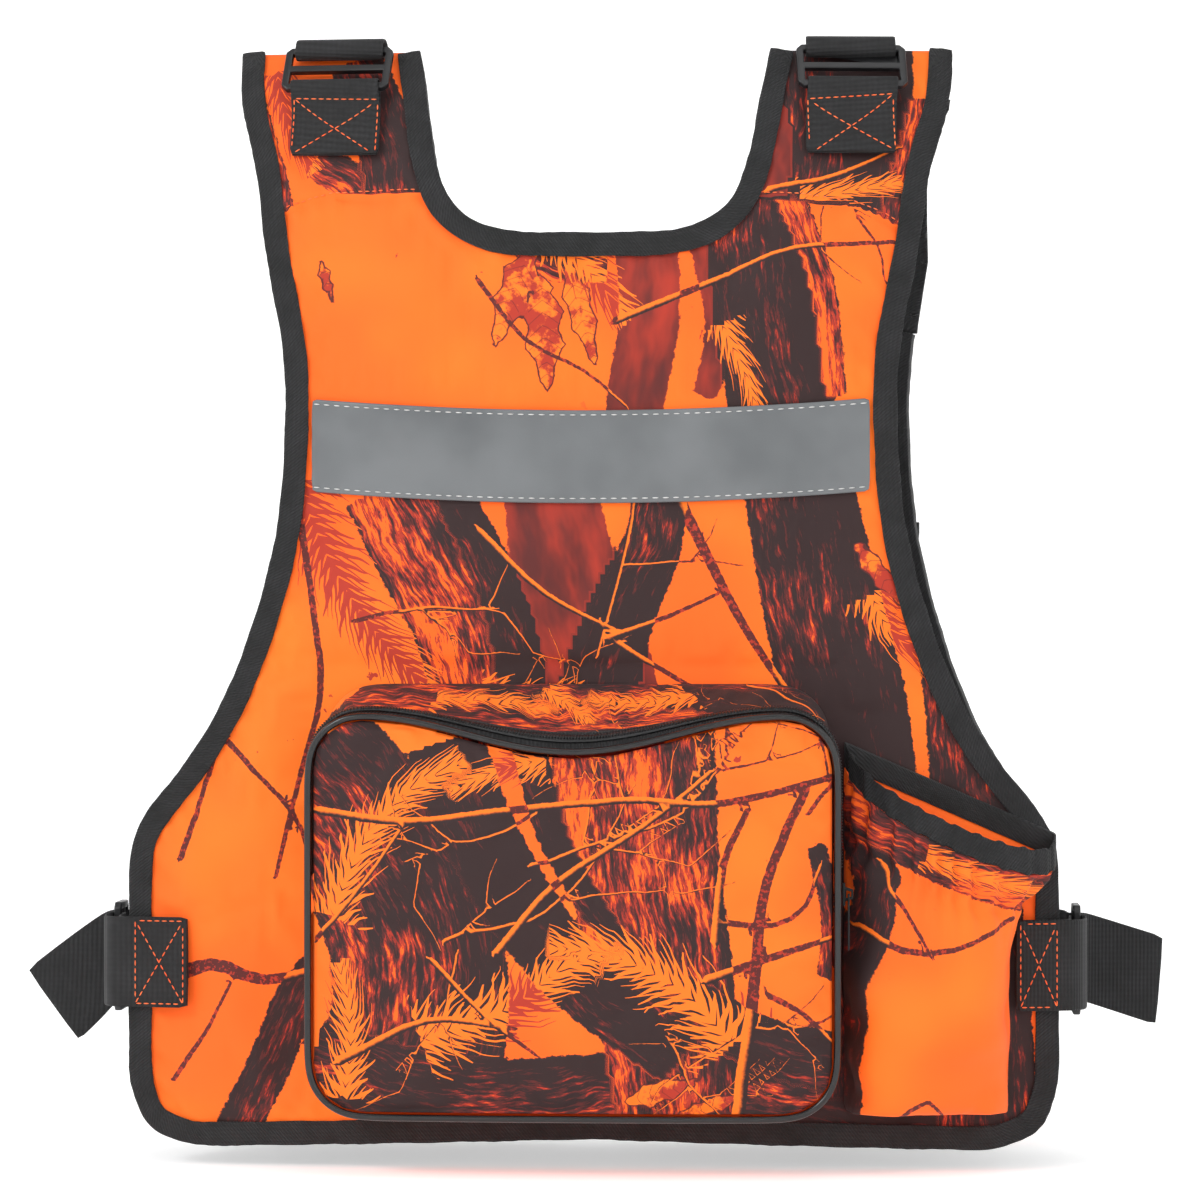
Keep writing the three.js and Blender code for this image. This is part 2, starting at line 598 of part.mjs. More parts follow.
function vessel(rings) {
  const [size, points, triangles] = [rings[0].length, rings.flat(), []];
  for (let i = 0; i < rings.length - 1; i++)
    for (let j = 0; j < size; j++) {
      const [a, b] = [i * size + j, i * size + ((j + 1) % size)];
      triangles.push([a, b, b + size], [a, b + size, a + size]);
    }
  const last = (rings.length - 1) * size;
  for (const [ring, turned] of [[0, true], [last, false]]) {
    const middle = points.length;
    const sum = points.slice(ring, ring + size).reduce((total, p) => total.add(p), new V3());
    points.push(sum.divideScalar(size));
    for (let j = 0; j < size; j++) {
      const [a, b] = [ring + j, ring + ((j + 1) % size)];
      triangles.push(turned ? [middle, b, a] : [middle, a, b]);
    }
  }
  return closedGeometry(points, triangles);
}
const ringAt = (share, thin) => Array.from({ length: AROUND }, (_, k) => bottlePoint(k, share, thin));
const bottleShares = [
  ...[0, 1, 2, 3].map((i) => (BOTTLE_FLARE * i) / 4),
  ...[0, 1, 2].map((i) => lerp(BOTTLE_FLARE, 1, i / 2)),
];
const BOTTLE_WALL = 1.2;
add(
  "bottle_pocket",
  vessel([
    ...bottleShares.map((s) => ringAt(s, 0)),
    ...bottleShares.toReversed().map((s) => ringAt(s, BOTTLE_WALL)),
  ]),
  "camo",
);
// The rim tape stands on the pocket's mouth and goes round it.
const RIM_TAPE = 13;
const rimStations = [...Array(AROUND).keys()];
function rimPoint(k, u, v) {
  const outer = bottlePoint(k, 1, 0);
  const inner = bottlePoint(k, 1, BOTTLE_WALL + GAP);
  const wall = new V3().subVectors(inner, outer);
  return outer.addScaledVector(wall, v).add(new V3(0, 0, GAP + u * RIM_TAPE));
}
add("bottle_pocket_rim_tape", sweep([[0, 0], [1, 0], [1, 1], [0, 1]], rimStations, rimPoint, true), "twill");

// ---- Three-bar sliders: X along the bars, Y along the strap
const SLIDER_LONG = 3 * BAR + 2 * SLOT_HEIGHT;
const SLIDER_WIDE = WEB_WIDTH + 2 * SLOT_PLAY + 2 * BAR;
function threeBar() {
  const [w, h, r] = [SLIDER_WIDE / 2, SLIDER_LONG / 2, 3];
  const frame = new THREE.Shape().moveTo(-w + r, -h).lineTo(w - r, -h).lineTo(w, -h + r).lineTo(w, h - r);
  frame.lineTo(w - r, h).lineTo(-w + r, h).lineTo(-w, h - r).lineTo(-w, -h + r);
  for (const middle of [-1, 1].map((s) => (s * (SLOT_HEIGHT + BAR)) / 2)) {
    const [sw, sh] = [WEB_WIDTH / 2 + SLOT_PLAY, SLOT_HEIGHT / 2];
    const slot = [[-sw, middle - sh], [-sw, middle + sh], [sw, middle + sh], [sw, middle - sh]];
    frame.holes.push(new THREE.Path(slot.map((p) => new THREE.Vector2(...p))));
  }
  return new THREE.ExtrudeGeometry(frame, { depth: BAR, bevelEnabled: false }).translate(0, 0, -BAR / 2);
}
function place(mesh, at, x, y) {
  const z = new V3().crossVectors(x, y).normalize();
  mesh.applyMatrix4(new THREE.Matrix4().makeBasis(x, y, z).setPosition(at));
}

// ---- Shoulder webbing, drawn in the plane of one strap and laid at +-SHOULDER_X
const SLIDER_LIFT = LAYERS + 7.5;
const ACROSS = new V3(1, 0, 0);
const BAR_PITCH = BAR + SLOT_HEIGHT;
const STRAND = BAR / 2 + WEB / 2 + 1.65; // a strand's distance from the middle plane of the bar it wraps

// Points round one bar of a slider: from below it (inner strand) over its far side to above it.
function aroundBar(centre, along, out, towards) {
  return [-90, -45, 0, 45, 90].map((degrees) => {
    const a = (degrees * Math.PI) / 180;
    return centre
      .clone()
      .addScaledVector(along, towards * Math.cos(a) * STRAND)
      .addScaledVector(out, Math.sin(a) * STRAND);
  });
}
for (const [name, x] of [["left", -SHOULDER_X], ["right", SHOULDER_X]]) {
  const out = BACK.normal(x, -SLIDER_DROP);
  const [acrossBack, acrossFront] = [BACK.across(x), FRONT.across(x)];
  const up = new V3().crossVectors(out, acrossBack);
  const centre = BACK.at(x, -SLIDER_DROP, SLIDER_LIFT);
  const slider = add("shoulder_slider_" + name, threeBar(), "plastic");
  place(slider, centre, acrossBack, up);
  const lowBar = centre.clone().addScaledVector(up, -BAR_PITCH);
  const highBar = centre.clone().addScaledVector(up, BAR_PITCH);
  const [backLow, frontLow] = [LAYERS, FRONT_FACE].map((face) => face + CREST + WEB / 2);
  const lie = (points, across) => points.map((at) => ({ at, across }));

  const sewn = straight([-BOX_TOP_DROP - BOX_HEIGHT, 0], [-BOX_TOP_DROP - 6, 0], BOX_HEIGHT / 2);
  const under = sewn.map(([z]) => BACK.at(x, z, backLow));
  const over = sewn.map(([z]) => BACK.at(x, z, backLow + WEB + GAP)).reverse();
  const backWeb = lie([...under, ...aroundBar(lowBar, up, out, 1), ...over], acrossBack);
  add("back_shoulder_web_" + name, webbing(backWeb, WEB_WIDTH), "web");

  const heights = (foot) => straight([foot, 0], [-FRONT_TOP_DROP, 0], 16).map(([z]) => z);
  const frontUnder = heights(-FRONT_SEWN_DROP).map((z) => FRONT.at(x, z, frontLow));
  const frontOver = heights(-FRONT_TAIL_DROP).map((z) => FRONT.at(x, z, frontLow + WEB + 2 * CREST));
  const overTop = LAYERS + WEB + CREST; // the panels' ends stay below this
  const wrap = aroundBar(highBar, up, out, -1);
  const [into, from] = [wrap[0], wrap.at(-1)].map((at) => at.clone().addScaledVector(up, STRAND + 2));
  const frontWeb = [
    ...lie(frontUnder, acrossFront),
    ...lie([new V3(x, 0, overTop)], ACROSS),
    ...lie([into, ...wrap, from], acrossBack),
    ...lie([new V3(x, 0, overTop + WEB + 2 * GAP)], ACROSS),
    ...lie(frontOver.reverse(), acrossFront),
  ];
  add("front_shoulder_web_" + name, webbing(frontWeb, WEB_WIDTH), "web");
}

// ---- Side straps. Each loop is sewn to the back panel, turns forward past its edge and holds a slider.
const sideZ = -LENGTH + SIDE_HEM_GAP;
const UP = new V3(0, 0, 1);
const FORWARD = new V3(0, 1, 0);
const SIDE_SLIDER_Y = -4;
// where each loop starts, and how its strap's tail ends: out, down, and its end's lean
const SIDES = [
  { name: "left", s: -1, sewnFrom: HALF_WIDTH - SIDE_SEWN, reach: 35, drop: 29, lean: 0.6 },
  { name: "right", s: 1, sewnFrom: BOTTLE_FOOT_RIGHT + 4, reach: 40, drop: 13, lean: 0.08 },
];
for (const { name, s, sewnFrom, reach, drop, lean } of SIDES) {
  const plane = HALF_WIDTH + SIDE_STAND_OFF;
  const outwards = new V3(s, 0, 0);
  const centre = new V3(s * plane, SIDE_SLIDER_Y, sideZ);
  const slider = add("side_slider_" + name, threeBar(), "plastic");
  place(slider, centre, UP, FORWARD);
  const backBar = centre.clone().addScaledVector(FORWARD, -BAR_PITCH);
  const frontBar = centre.clone().addScaledVector(FORWARD, BAR_PITCH);
  const backEdgeY = BACK.at(HALF_WIDTH, sideZ).y;
  const strand = (lift, offset) => {
    const sewn = [sewnFrom, (sewnFrom + HALF_WIDTH) / 2, HALF_WIDTH].map((x) => BACK.at(s * x, sideZ, lift));
    const corner = new V3(s * (HALF_WIDTH + 7 + offset / 2), backEdgeY - lift + 1.5, sideZ);
    const turned = new V3(s * (plane + offset), backEdgeY + 1, sideZ);
    return [...sewn, corner, turned];
  };
  const inner = strand(BOUND + GAP + WEB / 2, -STRAND);
  const outer = strand(BOUND + 3 * GAP + 1.5 * WEB, STRAND);
  const loop = [...inner, ...aroundBar(backBar, FORWARD, outwards, 1), ...outer.reverse()];
  add("side_loop_" + name, webbing(loop.map((at) => ({ at, across: UP })), WEB_WIDTH), "web");

  // The strap leaves the front panel at its edge, behind the line it swings on
  const edge = FRONT.at(s * HALF_WIDTH, sideZ);
  const caught = edge.clone().add(new V3(s * (2 * GAP + WEB / 2 + 0.6), -5.5, 0));
  const bend = new V3(s * (plane - STRAND), edge.y - 18, sideZ);
  const run = [caught, bend, ...aroundBar(frontBar, FORWARD, outwards, -1)].map((at) => ({ at, across: UP }));
  const root = new V3(s * (plane + STRAND + 3), frontBar.y + 6, sideZ - 1);
  const tail = [0, 0.5, 1].map((share) => ({
    at: root.clone().add(new V3(s * reach * share, 6 * share, -drop * share)),
    across: new V3(s * lean * lerp(0.3, 1, share), 0, 1 - 0.3 * lean * share).normalize(),
  }));
  add("side_strap_" + name, webbing([...run, ...tail], WEB_WIDTH), "web");
}

// ---- Fronts: a yoke that stays with the shoulders, and a door below it
function frontOutline() {
  const side = sideEdge(FRONT_CHEST_HALF, OPEN_HALF);
  const hemEnd = side.at(-1);
  const edge = straight(hemEnd, [OPEN_HALF, -FRONT_NECK_DROP], STEP);
  const neck = curve(
    [
      [OPEN_HALF, -FRONT_NECK_DROP],
      [0.55 * NECK_TOP_HALF, -FRONT_NECK_DROP + 34],
      [NECK_TOP_HALF - 4, -YOKE_DROP + 10],
      [NECK_TOP_HALF + 2, -YOKE_DROP + 40],
      [NECK_TOP_HALF + 2, -8],
    ],
    STEP / 1.3,
  );
  return chain(side, edge, neck);
}
const frontRing = frontOutline().slice(1).reverse(); // anticlockwise
const doorEdge = clip(frontRing, 1, -YOKE_DROP - GAP, false);
const yoke = clip(clip(frontRing, 1, -YOKE_DROP + GAP, true), 1, -FRONT_TOP_DROP, false);
const yokeCut = inset(yoke, EDGE_INSET, true);
const nearSeam = ([, z]) => z > -YOKE_DROP - 1;
const seamAt = doorEdge.findIndex((p, i) => nearSeam(p) && nearSeam(doorEdge[(i + 1) % doorEdge.length]));
// The door's bound edge runs from the armhole end of the seam round the hem to its neck end.
const boundEdge = [...doorEdge.slice(seamAt + 1), ...doorEdge.slice(0, seamAt + 1)];
const doorCut = inset(boundEdge, EDGE_INSET);
const flip = (points, s) => (s > 0 ? points : mirrored(points));

const waistZ = -LENGTH + WAIST_HEM_GAP;
const waistLift = FRONT_FACE + CREST + 3; // underside of the buckle halves
const [PLUG_X, PLUG_WALL, SOCKET_X, SOCKET_WALL] = [42, 4, 30, 6];
const [PLUG_BAR, SOCKET_BAR] = [PLUG_X + 17, SOCKET_X + 24]; // inner faces of their webbing bars
const beyond = 2 * GAP + WEB / 2;
const WAIST_PATHS = {
  plug: [
    PLUG_BAR - beyond, waistLift - beyond, waistLift + PLUG_WALL + beyond,
    [[PLUG_BAR + 12, 0, 12.4], [90, -3, 10], [105, -10, 9], [115, -21, 8], [119, -31, 8], [120, -41, 8]],
  ],
  socket: [
    SOCKET_BAR - beyond, waistLift - beyond, waistLift + SOCKET_WALL + beyond,
    [[SOCKET_BAR + 12, 0, 11.5], [88, 0, 7.6], [98, 0, 7.2]],
  ],
};
const frontPocketFoot = -LENGTH + FRONT_POCKET_HEM_GAP;
for (const [name, s] of [["left", -1], ["right", 1]]) {
  add("front_yoke_" + name, layer(flip(yokeCut, s), FRONT, -FRONT_FACE, FRONT_FACE), "blaze");
  add("front_shell_" + name, layer(flip(doorCut, s), FRONT, GAP / 2, FRONT_FACE), "blaze");
  add("front_lining_" + name, layer(flip(doorCut, s), FRONT, -FRONT_FACE, -GAP / 2), "mesh");
  add("front_edge_binding_" + name, binding(flip(boundEdge, s), FRONT), "twill");
  const near = [NECK_TOP_HALF - 24, OPEN_HALF + BINDING_WIDTH + 12].map((x) => s * x);
  const far = [0, 0].map(() => s * (FRONT_CHEST_HALF - BINDING_WIDTH - 4));
  add("front_reflective_strip_" + name, strip(FRONT, FRONT_FACE, near, far, stripMiddle), "silver");

  // Front pocket: a walled box open at its top, with a flap hinged above it
  const half = FRONT_POCKET_WIDTH / 2;
  const wallAt = FRONT_FACE + CREST;
  const cx = s * FRONT_POCKET_X;
  const rim = frontPocketFoot + FRONT_POCKET_HEIGHT;
  const box = (x0, x1, z0, z1, l0, l1) =>
    sweep(
      [[z0, l0], [z1, l0], [z1, l1], [z0, l1]],
      straight([x0, 0], [x1, 0], STEP * 2).map(([x]) => x),
      (x, z, lift) => FRONT.at(x, z, lift),
    );
  const top = wallAt + FRONT_POCKET_DEPTH;
  const whole = solidOf(box(cx - half, cx + half, frontPocketFoot, rim, wallAt, top));
  const room = solidOf(
    box(cx - half + 2, cx + half - 2, frontPocketFoot + 2, rim + 5, wallAt + 2, top - 2),
  );
  add("front_pocket_" + name, geometryOf(whole.subtract(room)), "camo");
  const flapTop = rim + 6;
  const flapProfile = [
    [flapTop, wallAt], [flapTop, top + 3], [rim - FLAP_DROP, top + 3],
    [rim - FLAP_DROP, top + 1], [flapTop - 2, top + 1], [flapTop - 2, wallAt],
  ];
  const flapRun = straight([cx - half - 2, 0], [cx + half + 2, 0], STEP * 2).map(([x]) => x);
  add("front_pocket_flap_" + name, sweep(flapProfile, flapRun, (x, z, lift) => FRONT.at(x, z, lift)), "camo");

  // Separable zip: tape sewn behind the front edge, teeth standing into the gap
  const zipTop = -FRONT_NECK_DROP - 16;
  const zipFoot = -LENGTH + HEM_LIFT + 14;
  const behind = -BOUND - 0.6;
  const tape = [[zipFoot, behind - FABRIC], [zipTop, behind - FABRIC], [zipTop, behind], [zipFoot, behind]];
  const tapeRun = [OPEN_HALF - 2, OPEN_HALF + 12].map((x) => s * x);
  add("front_zip_tape_" + name, sweep(tape, tapeRun, (x, z, lift) => FRONT.at(x, z, lift)), "twill");
  const teethLine = OPEN_HALF - 2 - GAP - TEETH / 2;
  const teeth = new THREE.BoxGeometry(TEETH, 3, zipTop - zipFoot);
  const teethMesh = add("front_zip_teeth_" + name, teeth, "coil");
  const teethY = FRONT.at(teethLine, zipFoot).y + behind - FABRIC / 2;
  teethMesh.position.set(s * teethLine, teethY, (zipTop + zipFoot) / 2);

  // Waist webbing, sewn at the side, looped round the bar of its half of the buckle
  const low = FRONT_FACE + CREST + WEB / 2;
  const [inside, barLow, barHigh, tail] = s > 0 ? WAIST_PATHS.plug : WAIST_PATHS.socket;
  const path = [
    [WAIST_X, 0, low], [110, 0, low], [inside + 12, 0, low + 0.3], [inside + 2.5, 0, barLow],
    [inside, 0, barLow + 1.2], [inside, 0, barHigh - 1.2], [inside + 2.5, 0, barHigh], ...tail,
  ];
  const run = path.map(([x, drop, lift], i) => {
    const [before, after] = [path[Math.max(i - 1, 0)], path[Math.min(i + 1, path.length - 1)]];
    const down = i > 7 ? Math.atan2(before[1] - after[1], after[0] - before[0]) : 0;
    const across = new V3(s * Math.sin(down), 0, Math.cos(down));
    return { at: FRONT.at(s * x, waistZ + drop, lift), across };
  });
  add("waist_web_" + name, webbing(run, WAIST_WEB), "web");
}

// Bottom box of the front zip, on the right teeth, with the slider parked above it
const teethX = OPEN_HALF - 2 - GAP - TEETH / 2;
const zipY = FRONT.at(teethX, -LENGTH).y - BOUND - 0.6 - FABRIC / 2;
const boxZ = -LENGTH + HEM_LIFT + 8;
const zipBox = add("front_zip_box", new THREE.BoxGeometry(TEETH + 5, 5, 11), "plastic");
zipBox.position.set(teethX - 1, zipY, boxZ);
const frontSliderZ = boxZ + 18;
const BAIL_FOOT = 3.6;
function channelSlider() {
  const [half, near, far, post, sunk, long] = [7.5, 2.2, 4, 1.4, 2.6, 13];
  const block = (points) => new THREE.ExtrudeGeometry(shapeOf(points), { depth: long, bevelEnabled: false });
  const plateAt = (s) => block([[-half, s * near], [half, s * near], [half, s * far], [-half, s * far]]);
  const middle = block([[-post, -sunk], [post, -sunk], [post, sunk], [-post, sunk]]);
  const bail = loopBail(BAIL_REACH, PLATE).rotateX(Math.PI / 2).rotateZ(Math.PI / 2);
  bail.translate(0, BAIL_FOOT, long / 2);
  const body = solidOf(plateAt(1)).add(solidOf(plateAt(-1))).add(solidOf(middle)).add(solidOf(bail));
  return geometryOf(body.translate([0, 0, -long / 2]));
}
const frontSliderX = teethX - TEETH / 2 - 1.9;
const frontSlider = add("front_zip_slider", channelSlider(), "plastic");
frontSlider.position.set(frontSliderX, zipY, frontSliderZ);
const frontPull = add("front_zip_pull", pull(6, 30), "plastic");
frontPull.rotation.z = Math.PI / 2;
frontPull.position.set(frontSliderX, zipY + BAIL_FOOT + PULL_OUT - PULL_WALL / 2, frontSliderZ - PULL_DOWN);

// Side-release buckle halves on the waist webbing, parted. Outlines from the middle of the vest outward.
const BUCKLE = WAIST_WEB + 6;
const flatShape = (points) => new THREE.Shape(points.map(([x, z]) => new THREE.Vector2(x, z * BUCKLE)));
function buckleHalf(name, s, x, wall, outline, hole) {
  const turned = (points) => (s > 0 ? points : points.map(([u, v]) => [-u, v]).reverse());
  const shape = flatShape(turned(outline));
  shape.holes.push(flatShape(turned(hole)));
  const body = new THREE.ExtrudeGeometry(shape, { depth: wall, bevelEnabled: false }).rotateX(Math.PI / 2);
  const mesh = add(name, body, "plastic");
  mesh.rotation.z = Math.atan2(FRONT.at(s * x + 10, 0).y - FRONT.at(s * x, 0).y, 10);
  mesh.position.copy(FRONT.at(s * x, waistZ, waistLift + wall));
}
buckleHalf(
  "waist_buckle_socket",
  -1,
  SOCKET_X,
  SOCKET_WALL,
  [[0, -0.5], [26, -0.5], [26, 0.5], [0, 0.5]],
  [[14, -0.44], [14, 0.44], [24, 0.44], [24, -0.44]],
);
const halfProng = [[-4, 0.34], [-14, 0.34], [-16, 0.26], [-12, 0.2], [-3, 0.2], [-3, 0.06], [-13, 0.06]];
buckleHalf(
  "waist_buckle_plug",
  1,
  PLUG_X,
  PLUG_WALL,
  [[0, -0.5], [20, -0.5], [20, 0.5], [0, 0.5], ...halfProng, ...halfProng.map(([x, z]) => [x, -z]).reverse()],
  [[6, -0.44], [6, 0.44], [17, 0.44], [17, -0.44]],
);

// D-ring on a short tab near the right armhole
const ringX = FRONT_CHEST_HALF - 7;
const ringZ = -STRIP_DROP - STRIP_WIDTH - 18;
const RING_LOOP = 2.7;
const RING_WALL = 2.6;
const RING_HALF = 12;
const RING_SEGMENTS = 8;
const tabLift = BOUND + GAP + 0.6;
const ringLift = tabLift + RING_LOOP;
// a D with its straight bar at the top: half width, top of the bar or eye, and where its bow starts
const bow = -4;
const letterD = (path, half, top) => path.moveTo(-half, top).lineTo(half, top).lineTo(half, bow);
const dRing = letterD(new THREE.Shape(), RING_HALF, 2).absarc(0, bow, RING_HALF, 0, Math.PI, true);
const eyeHalf = RING_HALF - RING_WALL;
const dEye = letterD(new THREE.Path(), eyeHalf, 2 - RING_WALL).absarc(0, bow, eyeHalf, 0, Math.PI, true);
dRing.holes.push(new THREE.Path(dEye.getPoints(RING_SEGMENTS).reverse()));
const ringOptions = { depth: RING_WALL, bevelEnabled: false, curveSegments: RING_SEGMENTS };
const ringBody = new THREE.ExtrudeGeometry(dRing, ringOptions).rotateX(Math.PI / 2);
const ringMesh = add("d_ring", ringBody.translate(0, RING_WALL / 2, 0), "plastic");
const ringCentre = FRONT.at(ringX, ringZ, ringLift);
const ringAcross = FRONT.across(ringX);
place(ringMesh, ringCentre, ringAcross, new V3().crossVectors(UP, ringAcross));
const ringOut = FRONT.normal(ringX, ringZ);
const tabZ = [26, 14].map((rise) => ringZ + rise);
const tabUnder = tabZ.map((z) => FRONT.at(ringX, z, tabLift));
const tabOver = tabZ.map((z) => FRONT.at(ringX, z, tabLift + 1.8)).reverse();
const ringBar = ringCentre.clone().addScaledVector(UP, RING_WALL / 4);
const tabRound = [-90, -45, 0, 45, 90].map((degrees) => {
  const a = (degrees * Math.PI) / 180;
  const [off, down] = [Math.sin(a) * RING_LOOP, -Math.cos(a) * RING_LOOP];
  return ringBar.clone().addScaledVector(ringOut, off).addScaledVector(UP, down);
});
const tab = [...tabUnder, ...tabRound, ...tabOver].map((at) => ({ at, across: ringAcross }));
add("d_ring_tab", webbing(tab, 16, 1.2), "web");

export default group;
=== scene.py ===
"""The looks of a blaze orange field vest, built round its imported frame.

Metres. +X runs to the wearer's right, +Y to the wearer's front and +Z up. The origin lies between
the shoulder straps. Cloth is laid on two curved sides, the back and the front, and every piece is
cut, laid, settled and dressed by the class of the sub-assembly that it belongs to.
"""

import json
import logging
import math
from dataclasses import dataclass, field
from enum import Enum

import bmesh
import bpy
import numpy as np
from mathutils import Matrix, Vector

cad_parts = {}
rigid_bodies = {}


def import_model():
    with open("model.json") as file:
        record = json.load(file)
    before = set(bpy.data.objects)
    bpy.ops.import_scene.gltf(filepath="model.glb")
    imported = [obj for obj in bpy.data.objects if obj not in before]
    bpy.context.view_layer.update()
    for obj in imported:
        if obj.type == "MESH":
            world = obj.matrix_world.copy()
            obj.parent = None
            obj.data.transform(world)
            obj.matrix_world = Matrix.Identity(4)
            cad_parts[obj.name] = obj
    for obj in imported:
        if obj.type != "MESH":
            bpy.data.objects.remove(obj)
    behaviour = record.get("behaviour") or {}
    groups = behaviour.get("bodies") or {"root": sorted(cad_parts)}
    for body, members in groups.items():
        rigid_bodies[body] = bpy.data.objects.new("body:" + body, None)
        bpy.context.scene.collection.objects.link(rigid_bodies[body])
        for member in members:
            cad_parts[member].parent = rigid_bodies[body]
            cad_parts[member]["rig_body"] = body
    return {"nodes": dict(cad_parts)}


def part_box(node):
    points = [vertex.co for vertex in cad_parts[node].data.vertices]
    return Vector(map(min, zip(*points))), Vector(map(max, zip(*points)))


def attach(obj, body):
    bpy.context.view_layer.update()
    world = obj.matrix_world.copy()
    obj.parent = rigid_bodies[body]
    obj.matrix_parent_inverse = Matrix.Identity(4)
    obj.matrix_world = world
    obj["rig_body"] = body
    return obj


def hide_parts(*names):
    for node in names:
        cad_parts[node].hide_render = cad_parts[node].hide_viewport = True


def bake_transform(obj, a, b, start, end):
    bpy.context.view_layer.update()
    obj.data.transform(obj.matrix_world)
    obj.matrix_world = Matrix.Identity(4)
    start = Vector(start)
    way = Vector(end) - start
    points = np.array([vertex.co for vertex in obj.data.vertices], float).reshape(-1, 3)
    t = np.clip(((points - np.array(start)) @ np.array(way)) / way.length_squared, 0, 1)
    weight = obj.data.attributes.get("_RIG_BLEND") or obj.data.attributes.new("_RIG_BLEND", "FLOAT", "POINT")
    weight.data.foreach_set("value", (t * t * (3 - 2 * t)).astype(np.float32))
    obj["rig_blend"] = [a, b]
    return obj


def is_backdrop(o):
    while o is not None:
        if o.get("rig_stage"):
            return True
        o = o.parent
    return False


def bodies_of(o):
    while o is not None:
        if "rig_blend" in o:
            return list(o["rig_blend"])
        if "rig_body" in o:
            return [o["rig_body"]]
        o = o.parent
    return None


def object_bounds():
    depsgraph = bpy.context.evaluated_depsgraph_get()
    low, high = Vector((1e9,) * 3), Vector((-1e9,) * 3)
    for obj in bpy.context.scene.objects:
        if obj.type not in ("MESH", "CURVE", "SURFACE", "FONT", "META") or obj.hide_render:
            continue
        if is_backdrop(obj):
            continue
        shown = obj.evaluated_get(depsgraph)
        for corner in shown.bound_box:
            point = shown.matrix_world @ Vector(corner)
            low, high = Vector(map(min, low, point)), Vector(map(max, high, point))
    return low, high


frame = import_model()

log = logging.getLogger("vest")
Array = np.ndarray
Line = tuple[tuple[float, float], ...]
Socket = bpy.types.NodeSocket
MM = 0.001
HIDDEN = 1.0  # a distance so large that a printed shape never shows
TWIG_STEP = 9  # millimetres between the bends of a loose twig
HEM = 0.0115  # width of cloth that a binding covers
GRAIN_SHIFT = 1.7  # how far along the bark's pattern each trunk starts after the one before
NEEDLE_REACH = 21.0  # millimetres: the reach that the needles' lengths are given for


# ---------------------------------------------------------------- finishes


class Recipe:
    """A material's node tree, built a node at a time."""

    def __init__(self, name: str, **sockets: object) -> None:
        """Starts a material.

        Args:
            name: the material's name.
            sockets: constants for the shader's own sockets, with _ for a space.
        """
        self.material = bpy.data.materials.new(name)
        self.material.use_nodes = True
        self.tree = self.material.node_tree
        self.shader = self.tree.nodes["Principled BSDF"]
        for key, value in sockets.items():
            self.shader.inputs[key.replace("_", " ")].default_value = value

    def node(self, kind: str, *inputs: object, **settings: object) -> bpy.types.Node:
        """Adds a node.

        Args:
            kind: the node's type, without its ShaderNode prefix.
            inputs: a socket, a constant or None for each of the node's first inputs.
            settings: the node's own settings.

        Returns:
            The node.
        """
        made = self.tree.nodes.new("ShaderNode" + kind)
        for key, value in settings.items():
            setattr(made, key, value)
        for place, value in enumerate(inputs):
            if value is not None:
                self.feed(made.inputs[place], value)
        return made

    def feed(self, socket: Socket, value: object) -> None:
        """Links a socket to an input, or sets its constant."""
        if isinstance(value, Socket):
            self.tree.links.new(value, socket)
        else:
            socket.default_value = value

    def math(self, how: str, *inputs: object) -> Socket:
        """A Math node's result."""
        return self.node("Math", *inputs, operation=how).outputs[0]

    def times(self, first: object, second: object) -> Socket:
        """A product."""
        return self.math("MULTIPLY", first, second)

    def plus(self, first: object, second: object) -> Socket:
        """A sum."""
        return self.math("ADD", first, second)

    def minus(self, first: object, second: object) -> Socket:
        """A difference."""
        return self.math("SUBTRACT", first, second)

    def fit(self, value: object, slope: object, start: object) -> Socket:
        """A value times a slope, plus a start."""
        return self.math("MULTIPLY_ADD", value, slope, start)

    def sine(self, turn: object) -> Socket:
        """The sine of a turn in radians."""
        return self.math("SINE", turn)

    def size(self, value: object) -> Socket:
        """A value without its sign."""
        return self.math("ABSOLUTE", value)

    def value(self, name: str) -> Socket:
        """A number stored on the piece's own points."""
        return self.node("Attribute", attribute_name=name).outputs["Fac"]

    def place(self) -> Socket:
        """The piece's Object coordinates."""
        return self.node("TexCoord").outputs["Object"]

    def join(self, *inputs: object) -> Socket:
        """Three numbers as one vector."""
        return self.node("CombineXYZ", *inputs).outputs[0]

    def split(self, vector: Socket) -> list[Socket]:
        """A vector's three numbers."""
        return list(self.node("SeparateXYZ", vector).outputs)

    def noise(self, vector: object, scale: float, detail: float = 2, rough: float = 0.5) -> Socket:
        """Noise from 0 to 1 at a scale, in waves per unit of the vector."""
        made = self.node("TexNoise", vector)
        for name, value in (("Scale", scale), ("Detail", detail), ("Roughness", rough)):
            made.inputs[name].default_value = value
        return made.outputs[0]

    def step(self, value: object, low: float, high: float) -> Socket:
        """0 up to low and 1 from high, smooth between."""
        made = self.node("MapRange", value, low, high, 0.0, 1.0, interpolation_type="SMOOTHSTEP")
        return made.outputs[0]

    def mix(self, share: object, first: object, second: object) -> Socket:
        """A mix of two colours."""
        made = self.node("Mix", data_type="RGBA")
        for name, value in (("Factor_Float", share), ("A_Color", first), ("B_Color", second)):
            socket = next(s for s in made.inputs if s.identifier == name)
            self.feed(socket, value)
        return next(s for s in made.outputs if s.identifier == "Result_Color")

    def colour(self, socket: object) -> None:
        """Gives the shader its base colour."""
        self.feed(self.shader.inputs["Base Color"], socket)

    def raise_by(self, height: object, metres: float, strength: float = 1.0) -> None:
        """Raises the surface by a height from 0 to 1."""
        made = self.node("Bump")
        made.inputs["Strength"].default_value = strength
        made.inputs["Distance"].default_value = metres
        self.feed(made.inputs["Height"], height)
        self.feed(self.shader.inputs["Normal"], made.outputs[0])


